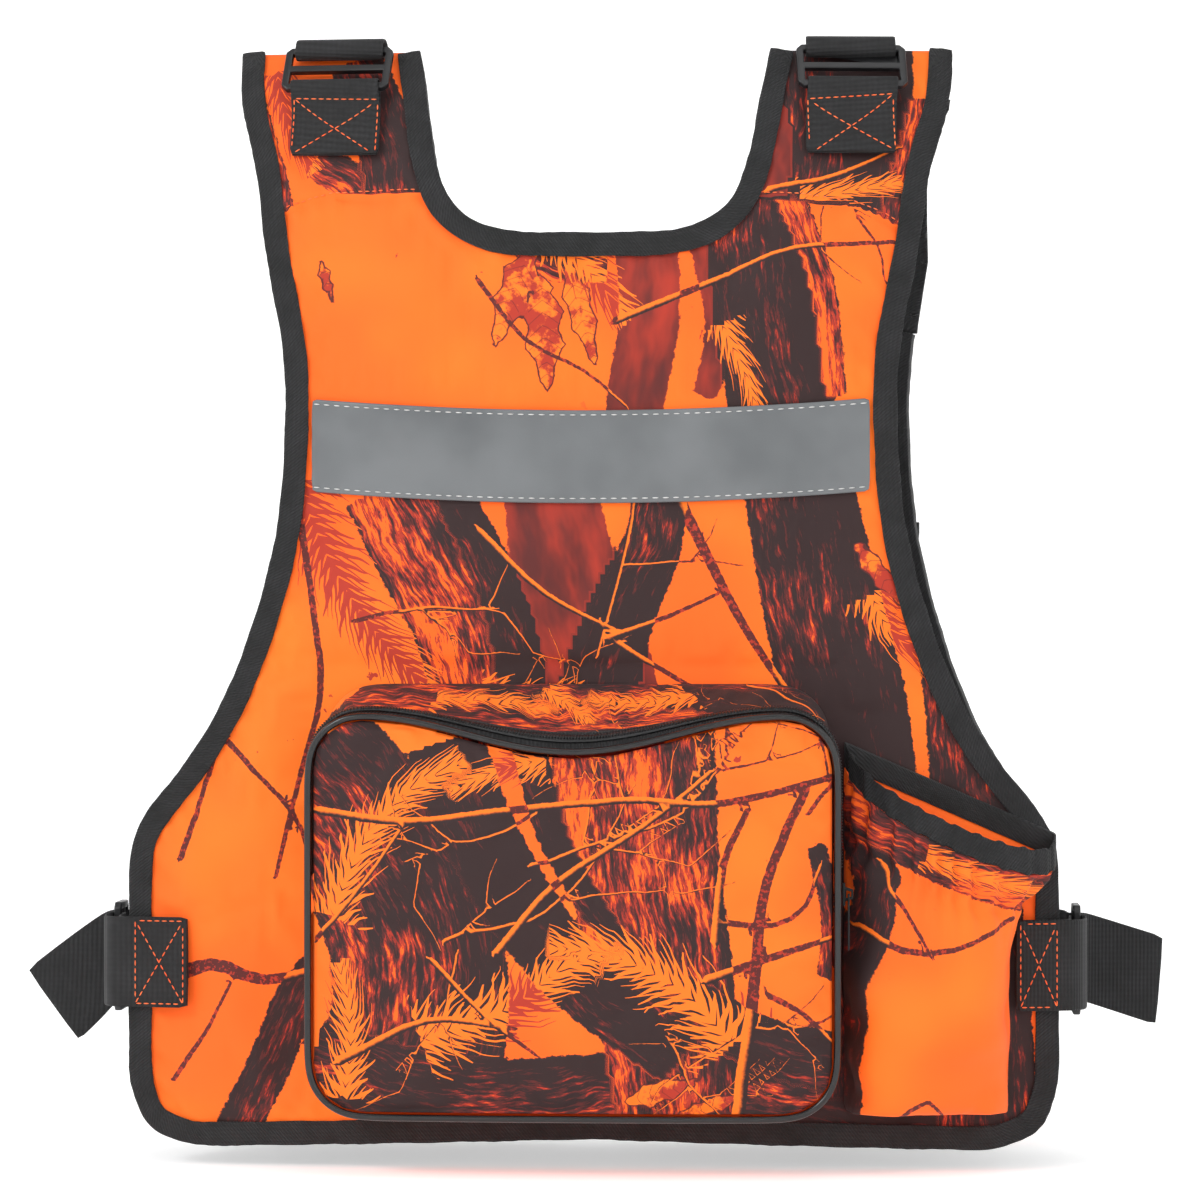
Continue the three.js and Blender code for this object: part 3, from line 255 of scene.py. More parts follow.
def linear(red: int, green: int, blue: int) -> tuple[float, float, float, float]:
    """A colour of 0 to 255 as the shader's linear one."""
    parts = [c / 255 for c in (red, green, blue)]
    return (*[c / 12.92 if c <= 0.04045 else ((c + 0.055) / 1.055) ** 2.4 for c in parts], 1.0)


class Weave(Enum):
    """Which way a fabric's threads run over Object coordinates."""

    UPRIGHT = "z"
    LEVEL = "x"
    ALONG = "along"


@dataclass(frozen=True)
class Camo:
    """Woven polyester with a printed woodland: trunks, limbs, twigs, needle sprays and leaves."""

    orange: tuple = linear(255, 98, 6)
    # the print's lighter orange for leaves and lit strokes, also used for painted highlight patches on the
    # ground
    pale: tuple = linear(255, 116, 14)
    rust: tuple = linear(172, 44, 22)
    maroon: tuple = linear(84, 22, 18)
    night: tuple = linear(38, 14, 14)
    weave: float = 1500.0
    glow: float = 0.07
    half_cell: float = 0.0014  # a measured line shows only this near to its stored distance

    def bark(self, r: Recipe, spot: Socket) -> tuple[Socket, Socket]:
        """Bark: streaks along each trunk, with chips between dark furrows, or smooth and rusty.

        Args:
            r: the recipe.
            spot: Object coordinates.

        Returns:
            Where there is bark, and its colour.
        """
        run, off, turn, tone = (r.value(name) for name in ("grain_s", "grain_t", "turn", "tone"))
        off = r.fit(r.noise(spot, 34, 2), 0.010, off)
        fine = r.noise(r.join(r.times(run, 70.0), r.times(off, 420.0), 0.0), 1.0, 5, 0.66)
        broad = r.noise(r.join(r.times(run, 18.0), r.times(off, 52.0), 3.0), 1.0, 3, 0.55)
        depth = r.fit(broad, 0.75, r.minus(fine, 0.505))
        depth = r.fit(tone, 0.40, depth)
        depth = r.fit(turn, -0.07, depth)
        depth = r.fit(r.step(r.size(turn), 0.78, 1.0), -0.10, depth)
        colour = r.mix(r.step(depth, 0.47, 0.54), self.night, self.maroon)
        colour = r.mix(r.step(depth, 0.57, 0.62), colour, self.rust)
        colour = r.mix(r.step(depth, 0.66, 0.70), colour, self.orange)
        smooth = r.mix(r.step(broad, 0.30, 0.72), self.maroon, self.rust)
        colour = r.mix(r.step(tone, -0.4, -0.6), colour, smooth)
        ragged = r.minus(r.noise(spot, 260, 4, 0.65), 0.5)
        edge = r.fit(ragged, 0.005, r.value("bark"))
        return r.step(edge, 0.0004, -0.0004), colour

    def leaves(self, r: Recipe, spot: Socket) -> tuple[Socket, Socket]:
        """Leaves: pale and veined, with a dark rim.

        Args:
            r: the recipe.
            spot: Object coordinates.

        Returns:
            Where there are leaves, and their colour.
        """
        leaf = r.fit(r.minus(r.noise(spot, 220, 3), 0.5), 0.003, r.value("leaf"))
        vein = r.size(r.sine(r.times(r.value("leaf_s"), 480.0)))
        blade = r.mix(r.step(r.noise(spot, 70, 4, 0.65), 0.46, 0.56), self.pale, self.rust)
        colour = r.mix(r.times(r.step(vein, 0.22, 0.0), 0.7), blade, self.maroon)
        colour = r.mix(r.step(leaf, -0.0012, -0.0006), colour, self.maroon)
        return r.step(leaf, 0.0003, -0.0003), colour

    def twigs(self, r: Recipe, spot: Socket, on_bark: Socket, kind: str) -> tuple[Socket, Socket]:
        """Limbs or twigs: dark over the orange ground, and lit along one side over bark.

        Args:
            r: the recipe.
            spot: Object coordinates.
            on_bark: where there is bark.
            kind: "limb" or "twig".

        Returns:
            Where there are any, and their colour.
        """
        off, half = r.value(kind + "_t"), r.value(kind + "_w")
        far = r.minus(r.value(kind), self.half_cell)
        gap = r.minus(r.math("MAXIMUM", r.size(off), far), half)
        ragged = r.minus(r.noise(spot, 420, 3, 0.6), 0.5)
        gap = r.fit(ragged, 0.0012, gap)
        lit = r.step(r.fit(ragged, 0.7, r.math("DIVIDE", off, half)), -0.5, 0.3)
        dark = r.mix(r.step(ragged, 0.02, 0.10), self.maroon, self.rust)
        colour = r.mix(on_bark, dark, r.mix(lit, self.night, self.pale))
        return r.step(gap, 0.0002, -0.0002), colour

    def strokes(self, r: Recipe, run: Socket, slope: float, rate: float, seed: float) -> Socket:
        """One rank of needles on both sides of the stems.

        Args:
            r: the recipe.
            run: distance along the stem.
            slope: how far the needles lean forward.
            rate: needles in a metre.
            seed: which lengths they have.

        Returns:
            1 on a needle and 0 off it.
        """
        signed = r.value("spray_t")
        far = r.minus(r.value("spray"), self.half_cell)
        reach = r.math("MAXIMUM", r.size(signed), far)
        rank = r.fit(r.fit(reach, -slope, run), rate, seed)
        number = r.fit(r.math("SIGN", signed), 57.0, r.math("FLOOR", rank))
        chance = r.node("TexWhiteNoise", noise_dimensions="1D")
        r.feed(chance.inputs["W"], number)
        length = r.fit(chance.outputs["Value"], 0.014, 0.008)
        taper = r.minus(1.0, r.math("DIVIDE", reach, length))
        tooth = r.size(r.minus(r.math("FRACT", rank), 0.5))
        stroke = r.math("LESS_THAN", tooth, r.fit(taper, 0.30, 0.06))
        return r.times(stroke, r.math("GREATER_THAN", taper, 0.0))

    def material(self) -> bpy.types.Material:
        """Makes the material.

        Returns:
            The material, which reads the print's numbers from the piece's own points.
        """
        r = Recipe("camo_cloth", Roughness=0.75, Sheen_Weight=0.04, Sheen_Roughness=0.5)
        spot = r.place()
        # painted highlight: large soft patches of the paler orange over the ground
        colour = r.mix(r.step(r.noise(spot, 9, 2), 0.42, 0.70), self.orange, self.pale)
        fleck = r.step(r.noise(spot, 95, 3, 0.7), 0.69, 0.71)
        flecks = r.times(fleck, r.step(r.noise(spot, 11, 2), 0.5, 0.6))
        colour = r.mix(flecks, colour, self.rust)
        on_bark, bark = self.bark(r, spot)
        colour = r.mix(on_bark, colour, bark)
        share, leaf = self.leaves(r, spot)
        colour = r.mix(share, colour, leaf)
        sway = r.times(r.minus(r.noise(spot, 26, 2), 0.5), 0.022)
        run = r.plus(r.value("spray_s"), sway)
        lean, spread = self.strokes(r, run, 1.6, 230.0, 0.0), self.strokes(r, run, 0.9, 150.0, 31.4)
        needle = r.math("MAXIMUM", lean, spread)
        colour = r.mix(needle, colour, r.mix(on_bark, self.rust, self.pale))
        for kind in ("twig", "limb"):
            share, twig = self.twigs(r, spot, on_bark, kind)
            colour = r.mix(share, colour, twig)
        r.colour(colour)
        r.feed(r.shader.inputs["Emission Color"], colour)
        r.shader.inputs["Emission Strength"].default_value = self.glow
        x, _, z = r.split(spot)
        warp = r.sine(r.times(x, self.weave * math.tau))
        weft = r.sine(r.times(z, self.weave * math.tau))
        cloth = r.plus(r.times(warp, weft), r.noise(spot, 500, 3))
        r.raise_by(cloth, 0.00006, 0.5)
        return r.material


@dataclass(frozen=True)
class Cloth:
    """A plain fabric, tape or webbing with raised threads, whose tops carry a painted highlight.

    Its pitch is the distance between ribs and its rise their height, in metres.
    """

    name: str
    colour: tuple
    # the painted highlight colour on the tops of the raised threads
    light: tuple
    pitch: float
    rise: float
    weave: Weave = Weave.ALONG
    slant: float = 1.0
    roughness: float = 0.8
    sheen: float = 0.06

    def material(self) -> bpy.types.Material:
        """Makes the material.

        Returns:
            The material. Its ribs slant by slant, or run straight across where that is 0.
        """
        r = Recipe(self.name, Roughness=self.roughness, Sheen_Weight=self.sheen, Sheen_Roughness=0.4)
        spot = r.place()
        x, y, z = r.split(spot)
        if self.weave is Weave.ALONG:
            along, across = r.value("along"), r.value("across")
        elif self.weave is Weave.UPRIGHT:
            along, across = r.minus(z, r.times(y, 0.6)), x
        else:
            along, across = r.plus(x, r.times(y, 0.9)), z
        turn = math.tau / self.pitch
        phase = r.times(r.plus(along, r.times(across, self.slant)), turn)
        rib = r.times(r.plus(r.sine(phase), 1.0), 0.5)
        thread = r.times(r.plus(r.sine(r.times(across, turn * 0.8)), 1.0), 0.5)
        patchiness = r.noise(spot, 60, 4, 0.6)
        height = r.plus(r.times(rib, 0.7), r.times(thread, 0.3))
        # painted highlight: the raised ribs and threads take the lighter colour, in patches
        share = r.times(height, r.step(patchiness, 0.2, 0.8))
        r.colour(r.mix(share, self.colour, self.light))
        r.raise_by(r.plus(height, r.times(patchiness, 0.4)), self.rise, 0.8)
        return r.material


@dataclass(frozen=True)
class Smooth:
    """A plain hard or glossy finish with a faint grain."""

    name: str
    colour: tuple
    light: tuple
    roughness: float
    grain: float = 700.0
    rise: float = 0.00004
    metallic: float = 0.0
    coat: float = 0.0

    def material(self) -> bpy.types.Material:
        """Makes the material."""
        r = Recipe(self.name, Roughness=self.roughness, Metallic=self.metallic, Coat_Weight=self.coat)
        spot = r.place()
        fine = r.noise(spot, self.grain, 3, 0.6)
        r.colour(r.mix(r.step(r.noise(spot, 40, 2), 0.3, 0.75), self.colour, self.light))
        r.raise_by(fine, self.rise, 0.5)
        return r.material


@dataclass(frozen=True)
class Reflective:
    """Grey glass-bead tape, faintly creased, with a painted highlight on the creases' raised parts and along
    its two rolled edges.
    """

    colour: tuple = linear(92, 95, 97)
    # the painted highlight colour of the creases and the rolled edges
    light: tuple = linear(112, 115, 117)

    def material(self) -> bpy.types.Material:
        """Makes the material."""
        r = Recipe("reflective_tape", Roughness=0.42, Metallic=0.25, Sheen_Weight=0.1)
        spot = r.place()
        soft = r.noise(spot, 14, 3, 0.5)
        beads = r.noise(spot, 1800, 1, 0.5)
        # painted highlight along the two rolled edges
        edge = r.step(r.value("rim"), 0.0035, 0.0015)
        # painted highlight: the creases' raised parts take the lighter colour
        base = r.mix(r.step(soft, 0.3, 0.7), self.colour, self.light)
        r.colour(r.mix(r.times(edge, 0.35), base, self.light))
        r.raise_by(r.plus(r.times(beads, 0.15), soft), 0.0004, 0.5)
        return r.material


@dataclass(frozen=True)
class AirMesh:
    """Dark spacer mesh with rows of small holes, painted darker in the holes as shade and lighter on the
    raised mesh as highlight, used for the linings.
    """

    colour: tuple = linear(20, 20, 22)
    light: tuple = linear(52, 52, 55)
    pitch: float = 0.0026

    def material(self) -> bpy.types.Material:
        """Makes the material."""
        r = Recipe("mesh_lining", Roughness=0.85, Sheen_Weight=0.2)
        spot = r.place()
        x, _, z = r.split(spot)
        turn = math.tau / self.pitch
        first = r.sine(r.times(r.plus(x, r.times(z, 0.58)), turn))
        second = r.sine(r.times(r.minus(x, r.times(z, 0.58)), turn))
        hole = r.step(r.times(first, second), 0.05, 0.55)
        # painted shade in the holes and painted highlight on the raised mesh between them
        r.colour(r.mix(hole, self.light, self.colour))
        r.raise_by(r.minus(1.0, hole), 0.0005, 0.9)
        return r.material


# the webbing's second colour is a painted highlight on its raised ribs
BLACK, RIB_HIGHLIGHT = linear(13, 13, 14), linear(36, 36, 38)
CAMO = Camo().material()
# the twill's second colour is a painted highlight on its raised ribs
TWILL = Cloth("twill_tape", linear(7, 7, 8), linear(42, 42, 44), 0.0018, 0.00045, slant=0.8).material()
WEB_UP = Cloth("webbing_upright", BLACK, RIB_HIGHLIGHT, 0.0024, 0.00045, Weave.UPRIGHT, 0.0).material()
WEB_LEVEL = Cloth("webbing_level", BLACK, RIB_HIGHLIGHT, 0.0024, 0.00045, Weave.LEVEL, 0.0).material()
SILVER = Reflective().material()
LINING = AirMesh().material()
VINYL = Smooth("piping", linear(7, 7, 8), linear(15, 15, 16), 0.26, 900, 0.00003, coat=0.15).material()
PLASTIC = Smooth("buckle_plastic", linear(17, 17, 18), linear(28, 28, 30), 0.38, 600, 0.00006).material()
METAL = Smooth(
    "zip_metal", linear(20, 20, 21), linear(40, 40, 42), 0.32, 500, 0.00003, metallic=0.6
).material()
COIL = Smooth("zip_teeth", linear(15, 15, 16), linear(36, 36, 38), 0.36, 800).material()
ORANGE_THREAD, WHITE_THREAD = (
    Smooth(name, colour, light, 0.6, 2500, 0.0001).material()
    for name, colour, light in (
        ("orange_thread", linear(255, 98, 40), linear(255, 128, 66)),
        ("white_thread", linear(196, 196, 194), linear(226, 226, 224)),
    )
)


# ---------------------------------------------------------------- shapes


@dataclass(frozen=True)
class Side:
    """One of the vest's two curved sides. Points on it are given by x, z and a lift off its middle."""

    sign: float
    half_depth: float = 0.070
    wrap: float = 0.025
    half_width: float = 0.252
    arch_drop: float = 0.150
    arch_reach: float = 0.056

    def normal(self, x: Array, z: Array) -> Array:
        """Unit vectors off the side at each x and z."""
        slope = 2 * self.arch_reach * (z + self.arch_drop) / self.arch_drop**2
        fall = np.where(z > -self.arch_drop, slope, 0.0)
        out = np.stack([2 * self.wrap * x / self.half_width**2, np.full_like(x, self.sign), fall], axis=1)
        return out / np.linalg.norm(out, axis=1, keepdims=True)

    def at(self, x: Array, z: Array, lift: Array | float = 0.0) -> Array:
        """Places points on the side.

        Args:
            x: across the vest.
            z: up the vest.
            lift: distance off the side's middle surface.

        Returns:
            An N by 3 array.
        """
        curve = self.arch_reach * ((z + self.arch_drop) / self.arch_drop) ** 2
        arch = np.where(z > -self.arch_drop, curve, 0.0)
        depth = self.half_depth - self.wrap * (x / self.half_width) ** 2 - arch
        base = np.stack([x, self.sign * depth, z], axis=1)
        return base + self.normal(x, z) * np.broadcast_to(lift, x.shape)[:, None]

    def flat(self, points: Array) -> tuple[Array, Array, Array]:
        """Finds where points lie over the side.

        Args:
            points: an N by 3 array.

        Returns:
            x, z and lift of each point.
        """
        x, z = points[:, 0].copy(), points[:, 2].copy()
        lift = np.zeros(len(x))
        for _ in range(6):
            base, normal = self.at(x, z), self.normal(x, z)
            lift = ((points - base) * normal).sum(axis=1)
            miss = points - base - normal * lift[:, None]
            x, z = x + miss[:, 0], z + miss[:, 2]
        return x, z, lift


BACK, FRONT = Side(-1.0), Side(1.0)


def merged(node: str) -> bmesh.types.BMesh:
    """A copy of a CAD node's mesh with its corners merged."""
    bm = bmesh.new()
    bm.from_mesh(frame["nodes"][node].data)
    bmesh.ops.remove_doubles(bm, verts=bm.verts[:], dist=0.00002)
    return bm


def adopt(bm: bmesh.types.BMesh, name: str) -> bpy.types.Object:
    """Turns a bmesh into a shaded object of the scene.

    Args:
        bm: the mesh, which is freed.
        name: the piece's name.

    Returns:
        The object.
    """
    mesh = bpy.data.meshes.new(name)
    bm.to_mesh(mesh)
    bm.free()
    mesh.shade_smooth()
    obj = bpy.data.objects.new(name, mesh)
    bpy.context.scene.collection.objects.link(obj)
    return obj


def coords(obj: bpy.types.Object) -> Array:
    """A piece's points as an N by 3 array."""
    out = np.empty(len(obj.data.vertices) * 3)
    obj.data.vertices.foreach_get("co", out)
    return out.reshape(-1, 3)


def move(obj: bpy.types.Object, points: Array) -> None:
    """Puts a piece's points at new places."""
    obj.data.vertices.foreach_set("co", points.astype(np.float32).ravel())
    obj.data.update()


def normals(obj: bpy.types.Object) -> Array:
    """A piece's point normals as an N by 3 array."""
    out = np.empty(len(obj.data.vertices) * 3)
    obj.data.vertex_normals.foreach_get("vector", out)
    return out.reshape(-1, 3)


def store(obj: bpy.types.Object, name: str, values: Array | float) -> None:
    """Stores a number on each of a piece's points."""
    layer = obj.data.attributes.get(name) or obj.data.attributes.new(name, "FLOAT", "POINT")
    count = len(obj.data.vertices)
    layer.data.foreach_set("value", np.broadcast_to(values, count).astype(np.float32))


def read(obj: bpy.types.Object, name: str) -> Array:
    """The numbers stored on a piece's points."""
    out = np.empty(len(obj.data.vertices))
    obj.data.attributes[name].data.foreach_get("value", out)
    return out


def apply_all(obj: bpy.types.Object) -> None:
    """Makes a piece's modifiers part of its mesh."""
    graph = bpy.context.evaluated_depsgraph_get()
    done = obj.evaluated_get(graph)
    mesh = bpy.data.meshes.new_from_object(done, preserve_all_data_layers=True, depsgraph=graph)
    obj.modifiers.clear()
    obj.data = mesh


def refine(
    node: str, name: str, levels: int = 2, sharp: float = 55.0, crease: float = 0.8
) -> bpy.types.Object:
    """Rounds a copy of a CAD node by subdivision, keeping its sharp edges.

    Args:
        node: the CAD node.
        name: the new piece's name.
        levels: how often each face is divided.
        sharp: edges that turn by more than this many degrees are kept.
        crease: how firmly, from 0 to 1.

    Returns:
        The piece.
    """
    bm = merged(node)
    bmesh.ops.join_triangles(
        bm,
        faces=bm.faces[:],
        angle_face_threshold=math.radians(20),
        angle_shape_threshold=math.radians(70),
    )
    layer = bm.edges.layers.float.new("crease_edge")
    for edge in bm.edges:
        if len(edge.link_faces) == 2 and edge.calc_face_angle(0.0) > math.radians(sharp):
            edge[layer] = crease
    obj = adopt(bm, name)
    rounding = obj.modifiers.new("rounding", "SUBSURF")
    rounding.levels = rounding.render_levels = levels
    apply_all(obj)
    return obj


def moulded(node: str, name: str, radius: float = 0.0006) -> bpy.types.Object:
    """Rounds the edges of a copy of a hard CAD node.

    Args:
        node: the CAD node.
        name: the new piece's name.
        radius: how much of each sharp edge is taken off.

    Returns:
        The piece.
    """
    bm = merged(node)
    bmesh.ops.dissolve_limit(bm, angle_limit=math.radians(2), verts=bm.verts[:], edges=bm.edges[:])
    edges = [e for e in bm.edges if len(e.link_faces) == 2 and e.calc_face_angle(0.0) > math.radians(35)]
    bmesh.ops.bevel(
        bm,
        geom=edges,
        offset=radius,
        offset_type="OFFSET",
        segments=3,
        profile=0.5,
        affect="EDGES",
        clamp_overlap=True,
        material=-1,
    )
    bmesh.ops.triangulate(bm, faces=[f for f in bm.faces if len(f.verts) > 4])
    obj = adopt(bm, name)
    for face in obj.data.polygons:
        face.use_smooth = face.area < 40 * MM * MM
    return obj


def flattened(
    node: str, side: Side, outer: bool = True
) -> tuple[bmesh.types.BMesh, Array, Array, float]:
    """Lays one face of a CAD layer out flat, as one polygon.

    Args:
        node: the CAD layer.
        side: the side that it lies on.
        outer: True for the layer's outer face, False for its inner one.

    Returns:
        The polygon, the x and z of the face's corners, and the face's lift off the side.
    """
    bm = merged(node)
    bm.verts.ensure_lookup_table()
    x, z, lift = side.flat(np.array([v.co for v in bm.verts]))
    keep = lift > lift.mean() if outer else lift < lift.mean()
    gone = [v for v, kept in zip(bm.verts, keep) if not kept]
    for vert, a, b in zip(bm.verts, x, z):
        vert.co = (a, 0.0, b)
    bmesh.ops.delete(bm, geom=gone, context="VERTS")
    bmesh.ops.dissolve_faces(bm, faces=bm.faces[:], use_verts=False)
    return bm, x[keep], z[keep], float(np.median(lift[keep]))


def cut_cloth(node: str, side: Side, name: str, pitch: float, outer: bool = True) -> bpy.types.Object:
    """Cuts a sheet to the outline of a CAD layer and lays it on its side.

    Args:
        node: the CAD layer.
        side: the side that it lies on.
        name: the new piece's name.
        pitch: size of the sheet's cells.
        outer: True for the layer's outer face, False for its inner one.

    Returns:
        The sheet, facing away from the body if outer. Its points store their flat place as u and v,
        and its lift as lift.
    """
    bm, x, z, height = flattened(node, side, outer)
    for toward, values in ((Vector((1, 0, 0)), x), (Vector((0, 0, 1)), z)):
        for step in range(math.ceil(values.min() / pitch), math.floor(values.max() / pitch) + 1):
            every, line = bm.verts[:] + bm.edges[:] + bm.faces[:], toward * (step * pitch)
            bmesh.ops.bisect_plane(bm, geom=every, dist=0.00002, plane_co=line, plane_no=toward)
    bmesh.ops.triangulate(bm, faces=[f for f in bm.faces if len(f.verts) > 4])
    bmesh.ops.dissolve_degenerate(bm, edges=bm.edges[:], dist=0.00005)
    obj = adopt(bm, name)
    flat = coords(obj)
    store(obj, "u", flat[:, 0])
    store(obj, "v", flat[:, 2])
    move(obj, side.at(flat[:, 0], flat[:, 2], height))
    face = normals(obj).mean(axis=0)
    if (face[1] * side.sign > 0) != outer:
        obj.data.flip_normals()
    store(obj, "lift", height)
    return obj


def divide(obj: bpy.types.Object, cuts: int, smooth: float = 0.0) -> None:
    """Divides every cell of a sheet.

    Args:
        obj: the sheet.
        cuts: cuts along each edge.
        smooth: how far new points follow the curve of the old ones, from 0 to 1.
    """
    bm = bmesh.new()
    bm.from_mesh(obj.data)
    bmesh.ops.subdivide_edges(bm, edges=bm.edges[:], cuts=cuts, smooth=smooth, use_grid_fill=True)
    bm.to_mesh(obj.data)
    bm.free()
    obj.data.shade_smooth()


def rim_distance(obj: bpy.types.Object, upright: bool = False) -> Array:
    """Measures a sheet's points against its rim, by their u and v.

    Args:
        obj: the sheet.
        upright: True to leave out the rim's level runs.

    Returns:
        Each point's distance from the rim.
    """
    bm = bmesh.new()
    bm.from_mesh(obj.data)
    bm.verts.ensure_lookup_table()
    u, v = read(obj, "u"), read(obj, "v")
    ends = [(e.verts[0].index, e.verts[1].index) for e in bm.edges if len(e.link_faces) == 1]
    bm.free()
    points = np.stack([u, v], axis=1)
    best = np.full(len(points), HIDDEN)
    for first, last in ends:
        a, b = points[first], points[last]
        run = b - a
        if upright and abs(run[0]) > 1.4 * abs(run[1]):
            continue
        share = np.clip(((points - a) @ run) / max(float(run @ run), 1e-12), 0, 1)
        best = np.minimum(best, np.linalg.norm(points - a - share[:, None] * run, axis=1))
    return best


@dataclass(frozen=True)
class Settling:
    """How a cloth is left to settle: pressure from behind, growth, the farthest it may move, frames."""

    pressure: float
    growth: float
    farthest: float
    frames: int = 20
    stiffness: float = 12.0
    bending: float = 0.4

    def run(self, obj: bpy.types.Object, held: Array) -> None:
        """Runs the cloth and leaves the result in the mesh.

        Args:
            obj: the cloth.
            held: True for the points that don't move.
        """
        group = obj.vertex_groups.new(name="held")
        group.add([int(i) for i in np.flatnonzero(held)], 1.0, "REPLACE")
        cloth = obj.modifiers.new("settling", "CLOTH")
        s = cloth.settings
        s.quality = 6
        s.mass = 0.2
        s.tension_stiffness = s.compression_stiffness = self.stiffness
        s.bending_stiffness = self.bending
        s.vertex_group_mass = group.name
        s.use_pressure = self.pressure != 0
        s.uniform_pressure_force = self.pressure
        s.shrink_min = -self.growth
        s.effector_weights.gravity = 0
        cloth.collision_settings.use_collision = False
        cloth.point_cache.frame_start, cloth.point_cache.frame_end = 1, self.frames
        before = coords(obj)
        scene = bpy.context.scene
        for number in range(1, self.frames + 1):
            scene.frame_set(number)
        seen = obj.evaluated_get(bpy.context.evaluated_depsgraph_get())
        after = np.empty(len(before) * 3)
        seen.data.vertices.foreach_get("co", after)
        obj.modifiers.clear()
        obj.vertex_groups.clear()
        scene.frame_set(1)
        step = after.reshape(-1, 3) - before
        size = np.maximum(np.linalg.norm(step, axis=1, keepdims=True), 1e-9)
        move(obj, before + step * np.tanh(size / self.farthest) * self.farthest / size)


def ripples(u: Array, v: Array, seed: int, length: float, height: float) -> Array:
    """Gentle uneven waves over a cloth.

    Args:
        u: across the cloth.
        v: up the cloth.
        seed: which waves.
        length: their usual length.
        height: their usual height.

    Returns:
        A rise for each point.
    """
    rng = np.random.default_rng(seed)
    total = np.zeros_like(u)
    for _ in range(7):
        turn, start, bend = rng.uniform(0, math.tau, 3)
        k = math.tau / (length * rng.uniform(0.6, 1.7))
        a, b = u * math.cos(turn) + v * math.sin(turn), v * math.cos(turn) - u * math.sin(turn)
        total += np.sin(k * a + start + 1.4 * np.sin(0.45 * k * b + bend))
    return total * height / math.sqrt(7)


def nearest(points: Array, line: Array) -> tuple[Array, Array, Array]:
    """Finds where points lie along a line.

    Args:
        points: N by 2.
        line: M by 2, the line's corners.

    Returns:
        Distance from the line, run along it, and signed distance, positive on its left.
    """
    a, run = line[:-1], np.diff(line, axis=0)
    length = np.maximum(np.linalg.norm(run, axis=1), 1e-9)
    starts = np.concatenate([[0.0], np.cumsum(length)[:-1]])
    best, along, signed = (np.full(len(points), HIDDEN) for _ in range(3))
    for k in range(len(a)):
        off = points - a[k]
        share = np.clip(off @ run[k] / length[k] ** 2, 0, 1)
        miss = off - share[:, None] * run[k]
        gap = np.linalg.norm(miss, axis=1)
        closer = gap < best
        turn = run[k][0] * off[:, 1] - run[k][1] * off[:, 0]
        best = np.where(closer, gap, best)
        along = np.where(closer, starts[k] + share * length[k], along)
        signed = np.where(closer, np.sign(turn) * gap, signed)
    return best, along, signed


def unit(vector: Array) -> Array:
    """A vector scaled to a length of 1."""
    return vector / np.linalg.norm(vector)


def rounded(line: Array, step: float, closed: bool = False) -> Array:
    """A smooth curve through a line's corners.

    Args:
        line: M by 2 or M by 3 corners.
        step: the spacing of the curve's points.
        closed: True if the line's ends meet.

    Returns:
        The curve's points.
    """
    if closed:
        full = np.concatenate([line[-1:], line, line[:2]])
    else:
        full = np.concatenate([2 * line[:1] - line[1:2], line, 2 * line[-1:] - line[-2:-1]])
    out = []
    for a, b, c, d in zip(full, full[1:], full[2:], full[3:]):
        count = max(1, round(float(np.linalg.norm(c - b)) / step))
        for t in np.arange(count) / count:
            square, cube = (2 * a - 5 * b + 4 * c - d) * t**2, (3 * b - a - 3 * c + d) * t**3
            out.append(0.5 * (2 * b + (c - a) * t + square + cube))
    if not closed:
        out.append(line[-1])
    return np.array(out)


def outline(node: str, side: Side) -> Array:
    """The outline of a CAD layer, as x and z of its corners in order."""
    bm = flattened(node, side)[0]
    bm.faces.ensure_lookup_table()
    ring = max(bm.faces, key=lambda f: f.calc_area())
    corners = np.array([(v.co.x, v.co.z) for v in ring.verts])
    bm.free()
    return corners


def follow(obj: bpy.types.Object, line: Array, side: Side) -> None:
    """Stores how far along and across a line each of a piece's points lies, for its weave."""
    x, z, lift = side.flat(coords(obj))
    _, along, signed = nearest(np.stack([x, z], axis=1), line)
    store(obj, "along", along)
    store(obj, "across", signed + lift)


# ---------------------------------------------------------------- print


@dataclass(frozen=True)
class Trunk:
    """A printed trunk or limb: its middle line and its width at both ends, in millimetres, and its tone."""

    line: Line
    start: float
    end: float
    tone: float = 0.2


@dataclass(frozen=True)
class Spray:
    """A printed spray of needles along a stem, in millimetres, and how far its needles reach."""

    stem: Line
    reach: float = NEEDLE_REACH


@dataclass(frozen=True)
class Leaf:
    """A printed leaf: foot, tip and half width in millimetres."""

    foot: tuple[float, float]
    tip: tuple[float, float]
    half: float


